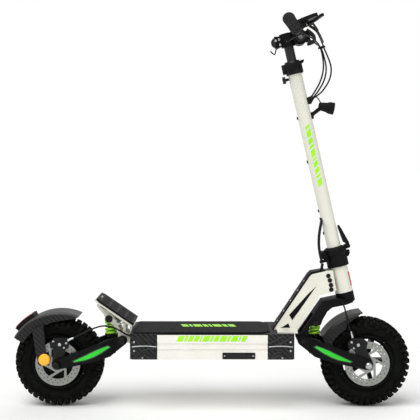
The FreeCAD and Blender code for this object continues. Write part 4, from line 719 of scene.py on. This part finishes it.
angle = np.radians(np.linspace(119.5, 140.5, 25))[:, None, None]
wide = np.linspace(-30, 30, 13)[None, :, None]
reach = np.array([172.6, 174.6])[None, None, :]
angle, wide, reach = np.broadcast_arrays(angle, wide, reach)
lens = np.stack([-AXLE_X + reach * np.cos(angle), wide, AXLE_Z + reach * np.sin(angle)], -1)
add_piece("tail_lens", *closed_shell(lens), red_lens, "rear_arm")

add_piece("headlight_lens", *turned([(0, 51), (8, 50.6), (13, 49.4), (16.3, 47.6), (16.3, 45.6), (0, 45.6)],
                                    (332.4, 0, 942.6), (0.985, 0, -0.174), 40), lamp_lens, "stem")
lamp_lead = cable_mesh("headlight_lead", [[(310, -6, 968), (320, -7, 972), (330, -8, 968), (338, -8, 952)]],
                       1.8, sheath)
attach(lamp_lead, "stem")


# ------------------------------------------------------------------ inserts, plates and graphics

insert = [(317, 196), (322, 199.5), (340, 193), (362, 184), (386, 172), (430, 151.5), (427, 149),
          (392, 156), (368, 165), (345, 177)]
# A raised frame round each green insert, drawn in the lighter grey anodised finish instead of the arm's black
# coat: a painted highlight along the arm's ridge lines.
ridge = [tuple(spot) for spot in inset(insert, -3.6)]
for end, flip in (("front", 1), ("rear", -1)):
    add_piece(f"{end}_arm_ridges_painted_highlight", *side_plate([(flip * x, z) for x, z in ridge], 80.6, 82.5, 0.6),
              tube_anodised, f"{end}_arm")
add_piece("front_arm_inserts", *side_plate(insert, 81, 83.4, 0.5), insert_green, "front_arm")
add_piece("rear_arm_inserts", *side_plate([(-x, z) for x, z in insert], 81, 83.4, 0.5),
          insert_green, "rear_arm")

port = [(31, 168), (33, 166.8), (129, 166.8), (131, 168), (131, 185), (129, 186.5), (33, 186.5), (31, 185)]
add_piece("charge_port_plate", *side_plate(port, 119.8, 122.2, 0.6, (-1,)), black_nylon, "chassis")
flap = [(46, 170), (116, 170), (118, 172), (118, 181.5), (116, 183.5), (46, 183.5), (44, 181.5), (44, 172)]
add_piece("charge_port_flap", *side_plate(flap, 122, 123.4, 0.5, (-1,)), gasket, "chassis")
add_piece("charge_port_screws", *heap([bolt((x, -122, 176.7), (0, -1, 0), 2.6, 1.6) for x in (37.5, 124.5)]),
          zinc, "chassis")


def bars(start, end, low, high, widths, gap, slant):
    """Slanted bars in a row: outlines from start to end, with the given widths and gaps."""
    scale = (end - start + gap) / (sum(widths) + gap * len(widths))
    outlines, at = [], start
    for width in widths:
        wide = width * scale
        outlines.append([(at, low), (at + wide, low), (at + wide + slant, high), (at + slant, high)])
        at += wide + gap * scale
    return outlines


dashes = bars(-110, 100, 220.5, 238, [22, 9, 16, 16, 6, 22, 9, 16, 22, 9, 22, 6, 16], 4.4, 8)
add_piece("deck_side_graphics", *heap([side_plate(outline, 119.9, 120.35, 0.1) for outline in dashes]),
          lime_vinyl, "chassis")
mat_marks = [plate(outline, 246.8, 247.4, 0.1, (0, 0, 0), (1, 0, 0), (0, 1, 0))
             for outline in bars(-92, 76, 0, 44, [20, 8, 26, 14, 8, 26, 14, 20], 5, -10)]
add_piece("deck_mat_graphics", *heap(mat_marks), lime_vinyl, "chassis")


def stem_marks():
    """The same bars wrapped on the stem: each corner's x becomes a height, its y an angle."""
    parts = []
    for low, high in ((start, start + size) for start, size in
                      ((344, 22), (371, 9), (385, 16), (406, 16), (427, 6), (438, 22), (465, 9), (479, 16),
                       (500, 22), (527, 9))):
        for side in (-1, 1):
            turn = np.linspace(-0.34, 0.34, 9)[:, None, None]
            rise = np.array([low, high])[None, :, None] + turn * 14
            parts.append(closed_shell(wrapped(turn, rise, np.array([21.6, 22.0]), side * ACROSS, OFF_STEM)))
    return heap(parts)


add_piece("stem_graphics", *stem_marks(), lime_vinyl, "stem")


# ------------------------------------------------------------------ deck corners

def corner_ribs():
    """Raised ribs on the corner blocks' side faces: rods half sunk in the wall, drawn by
    their distance from the block's inner edge and their height."""
    ribs = [[(3, 213), (28, 226), (46, 237.5)], [(76, 235), (44, 216), (24, 209)],
            [(3, 197), (26, 198), (46, 191), (74, 168)], [(5, 168), (24, 184), (42, 188)],
            [(12, 167), (34, 179), (60, 167)]]
    dark, bright = [], []
    for flip, edge in ((1, 169), (-1, 168)):
        for side in (-1, 1):
            for rib in ribs:
                path = np.array(rib, float)
                fine = np.linspace(0, len(path) - 1, 12)
                steps = np.arange(len(path))
                line = np.stack([flip * (edge + np.interp(fine, steps, path[:, 0])), 0 * fine + side * 120.2,
                                 np.interp(fine, steps, path[:, 1])], -1)
                dark.append(rod(line, 2.3, 10))
            share = np.linspace(0, 1, 9)
            line = np.stack([flip * (edge + 3 + 74 * share), 0 * share + side * 120.6,
                             204 + 2.5 * np.sin(share * math.pi)], -1)
            bright.append(rod(line, 2.0, 10))
    return heap(dark), heap(bright)


dark_ribs, bright_ribs = corner_ribs()
add_piece("corner_block_ribs", *dark_ribs, tube_anodised, "chassis")
add_piece("corner_block_strips", *bright_ribs, raw_alloy, "chassis")
points, faces = heap([bolt(spot, axis, 3.2, 2.2) for spot, axis in
                      mirrored([(239, 120, 219), (239, 120, 191.6), (-239, 120, 219), (-239, 120, 191.6),
                                (214, 120, 171), (-214, 120, 171)])])
add_piece("corner_block_screws", points, faces, zinc, "chassis")

points, faces = heap([bolt(spot, axis, 11.8, 3.0) for spot, axis in
                      mirrored([(-SHOCK_X, 63.2, REAR_EYE_Z), (-PIVOT_X, 63.2, PIVOT_Z)])])
add_piece("rear_pivot_caps", points, faces, black_oxide, "chassis")
points, faces = heap([bolt(spot, axis, 7.5, 3.0) for spot, axis in
                      mirrored([(SHOCK_X, 63.2, FRONT_EYE_Z), (PIVOT_X, 63.2, PIVOT_Z)])])
add_piece("front_pivot_caps", points, faces, black_oxide, "steering")
points, faces = heap([bolt(spot, axis, 7.0, 3.0) for spot, axis in
                      mirrored([(362, 36, 412.5), (367, 36, 398.5), (370.5, 36, 383.5), (371.5, 36, 369.5)])])
add_piece("neck_bolts", points, faces, black_oxide, "chassis")
start, finish_at = np.array([199, 0, 256.0]), np.array([298, 0, 405.0])
edge = (finish_at - start) / np.linalg.norm(finish_at - start)
normal = np.array([-edge[2], 0, edge[0]])
points, faces = heap([bolt(start + (finish_at - start) * share + normal * 2.6 + ACROSS * y, normal, 3.0, 2.4)
                      for share in (0.08, 0.28, 0.5, 0.72, 0.92) for y in (-22, 22)])
add_piece("neck_cover_screws", points, faces, zinc, "chassis")


# ------------------------------------------------------------------ stem and handlebar

clip_spots = [190, 236, 262, 420, 560]
# A thin dark strip laid flush in the stem's rear face: painted shade along the tube's back edge.
points, faces = plate([(-2.4, 175), (2.4, 175), (2.4, 690), (-2.4, 690)], 0, 0.8, 0.2,
                      STEM_FOOT - OFF_STEM * STEM_SKIN, ACROSS, UP_STEM)
add_piece("stem_edge_painted_shade", points, faces, grip_rubber, "stem")
parts = [plate([(-4.5, z), (4.5, z), (4.5, z + 9), (-4.5, z + 9)], -2.6, 1.2, 0.6,
               STEM_FOOT - OFF_STEM * (STEM_SKIN + 0.4), ACROSS, UP_STEM) for z in clip_spots]
add_piece("stem_clips", *heap(parts), black_nylon, "stem")

fins = np.linspace(0, 2 * math.pi, 30, endpoint=False)
collar = 27
parts = [rod([on_stem(collar * math.cos(a), collar * math.sin(a), z) for z in (703, 733)], 1.3, 8)
         for a in fins if abs(math.atan2(math.sin(a), math.cos(a))) < 2.4]
add_piece("collar_ribs", *heap(parts), black_anodised, "stem")

hook = cable_mesh("stowing_hook", [[(201, 0, 1128), (198, 0, 1116), (196, 0, 1104), (192, 0, 1102),
                                    (181, 0, 1113)]], 1.9, black_oxide)
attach(hook, "telescope")
points, faces = heap([bolt(spot, axis, 3.6, 2.2) for spot, axis in
                      mirrored([(197, 12, 1144), (207.6, 12, 1147.4), (210.8, 12, 1131.6)])])
add_piece("stem_head_screws", points, faces, zinc, "telescope")


def bar_line(side):
    """The bend and tip of one half of the handlebar."""
    return on_stem(CLAMP_X, side * 50, CLAMP_Z), on_stem(CLAMP_X - 49, side * 299, CLAMP_Z + 30)


def grip_sleeves():
    """Rubber sleeves turned about the bar: fine ribs, a flange and a domed end."""
    parts = []
    for side in (-1, 1):
        bend, tip = bar_line(side)
        along = (tip - bend) / np.linalg.norm(tip - bend)
        height = np.linspace(0, 112, 225)
        ribs = 16.8 + 0.8 * np.clip(np.sin(height * 2 * math.pi / 4.0) * 2, -1, 1)
        body = [(11.2, 0), (18, 0), (18.3, 1), (18.3, 3), (16.8, 4)]
        body += [(r, 4 + h) for r, h in zip(ribs, height)]
        body += [(16.8, 117), (18.1, 118), (18.3, 123), (17, 125.5), (10, 126.3), (0, 126.5)]
        parts.append(turned(body, tip - along * 121.5, along, 40))
    return heap(parts)


sleeves = add_piece("grip_sleeves", *grip_sleeves(), grip_rubber, "telescope")
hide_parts("grips")

tilt = math.radians(21)
display_foot = on_stem(CLAMP_X + 38, 0, CLAMP_Z + 46)
display_along = np.array([math.cos(tilt), 0, math.sin(tilt)])
glass = [(15, -38), (27, -27), (27, 27), (15, 38), (-8, 38), (-8, -38)]
add_piece("display_glass", *plate(glass, 10.6, 11.5, 0.3, display_foot, display_along, ACROSS),
          cover_glass, "telescope")

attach(cable_mesh("lever_pod_leads", [
    [(296, -158, 1181), (305, -142, 1174), (317, -116, 1163)],
    [(293, 158, 1181), (302, 142, 1174), (314, 112, 1162)]], 3.6, gasket), "telescope")

# ------------------------------------------------------------------ footrest and stand

low, rise = np.array([-241, 0, 268.0]), math.radians(34.4)
slope = np.array([-math.cos(rise), 0, math.sin(rise)])
pads = [plate([(x, -62), (x + 22, -62), (x + 22, 62), (x, 62)], -2.2, 1.2, 0.6, low, slope, -ACROSS)
        for x in (10, 40, 70, 100)]
add_piece("footrest_pads", *heap(pads), mat_rubber, "chassis")
rails = [plate([(2, y - 5), (143, y - 5), (143, y + 5), (2, y + 5)], -13, -7.4, 0.6, low, slope, -ACROSS)
         for y in (-70, 70)]
rails.append(plate([(136, -65.5), (143, -65.5), (143, 65.5), (136, 65.5)], -13, -7.4, 0.6, low, slope, -ACROSS))
add_piece("footrest_rails", *heap(rails), white_coat, "chassis")
points, faces = plate([(128, -16), (133, -16), (133, 16), (128, 16)], -2.2, 0.9, 0.4, low, slope, -ACROSS)
add_piece("footrest_badge_bar", points, faces, raw_alloy, "chassis")

foot = [(-228, 190.5), (-216, 191), (-214, 183), (-216, 173.5), (-228, 173), (-231, 182)]
add_piece("kickstand_foot", *side_plate(foot, 121.4, 131.6, 1.2, (1,)), gasket, "kickstand")


# ------------------------------------------------------------------ stage, light and camera

floor = bpy.data.meshes.new("floor")
floor.from_pydata([(-60, -60, 0), (60, -60, 0), (60, 60, 0), (-60, 60, 0)], [], [(0, 1, 2, 3)])
floor_piece = bpy.data.objects.new("floor", floor)
bpy.context.scene.collection.objects.link(floor_piece)
# Seamless studio paper: matt, a breath off white.
paper = grained("studio_paper", "#F2F2F1", "#F6F6F5", 400, (0.8, 0.9), 0.0, mottle=900)
floor.materials.append(paper)

world = bpy.data.worlds.new("studio")
world.use_nodes = True
bpy.context.scene.world = world
sky = world.node_tree
backdrop = sky.nodes["Background"]
backdrop.inputs["Color"].default_value = (1, 1, 1, 1)
backdrop.inputs["Strength"].default_value = 0.42
shown = node(sky, "ShaderNodeBackground", {"Color": (1, 1, 1, 1), "Strength": 1.0})
rays = node(sky, "ShaderNodeLightPath")
chosen = node(sky, "ShaderNodeMixShader", {0: rays.outputs["Is Camera Ray"], 1: backdrop.outputs[0],
                                           2: shown.outputs[0]})
sky.links.new(chosen.outputs[0], sky.nodes["World Output"].inputs["Surface"])


def lamp(name, direction, strength, spread):
    """A broad, even light from one direction, with soft-edged shadows."""
    light = bpy.data.lights.new(name, "SUN")
    light.energy = strength
    light.angle = math.radians(spread)
    holder = bpy.data.objects.new(name, light)
    bpy.context.scene.collection.objects.link(holder)
    holder.rotation_euler = Vector(direction).to_track_quat("Z", "Y").to_euler()


lamp("key_light", (-0.35, -0.5, 1.0), 2.25, 50)
lamp("fill_light", (0.6, -1.0, 0.35), 0.6, 60)
lamp("rim_light", (0.3, 1.0, 0.8), 0.45, 50)

view = bpy.data.cameras.new("camera")
view.lens = 87.2
view.sensor_width = 36
view.clip_end = 200
camera = bpy.data.objects.new("camera", view)
bpy.context.scene.collection.objects.link(camera)
camera.location = (0.008, -3.2, 0.773)
aim = np.array([-0.0076, 0.0, 0.6166]) - np.array(camera.location)
camera.rotation_euler = (math.pi / 2 + math.asin(aim[2] / np.linalg.norm(aim)), 0,
                         math.atan2(-aim[0], aim[1]))
bpy.context.scene.camera = camera
bpy.context.scene.view_settings.view_transform = "Standard"
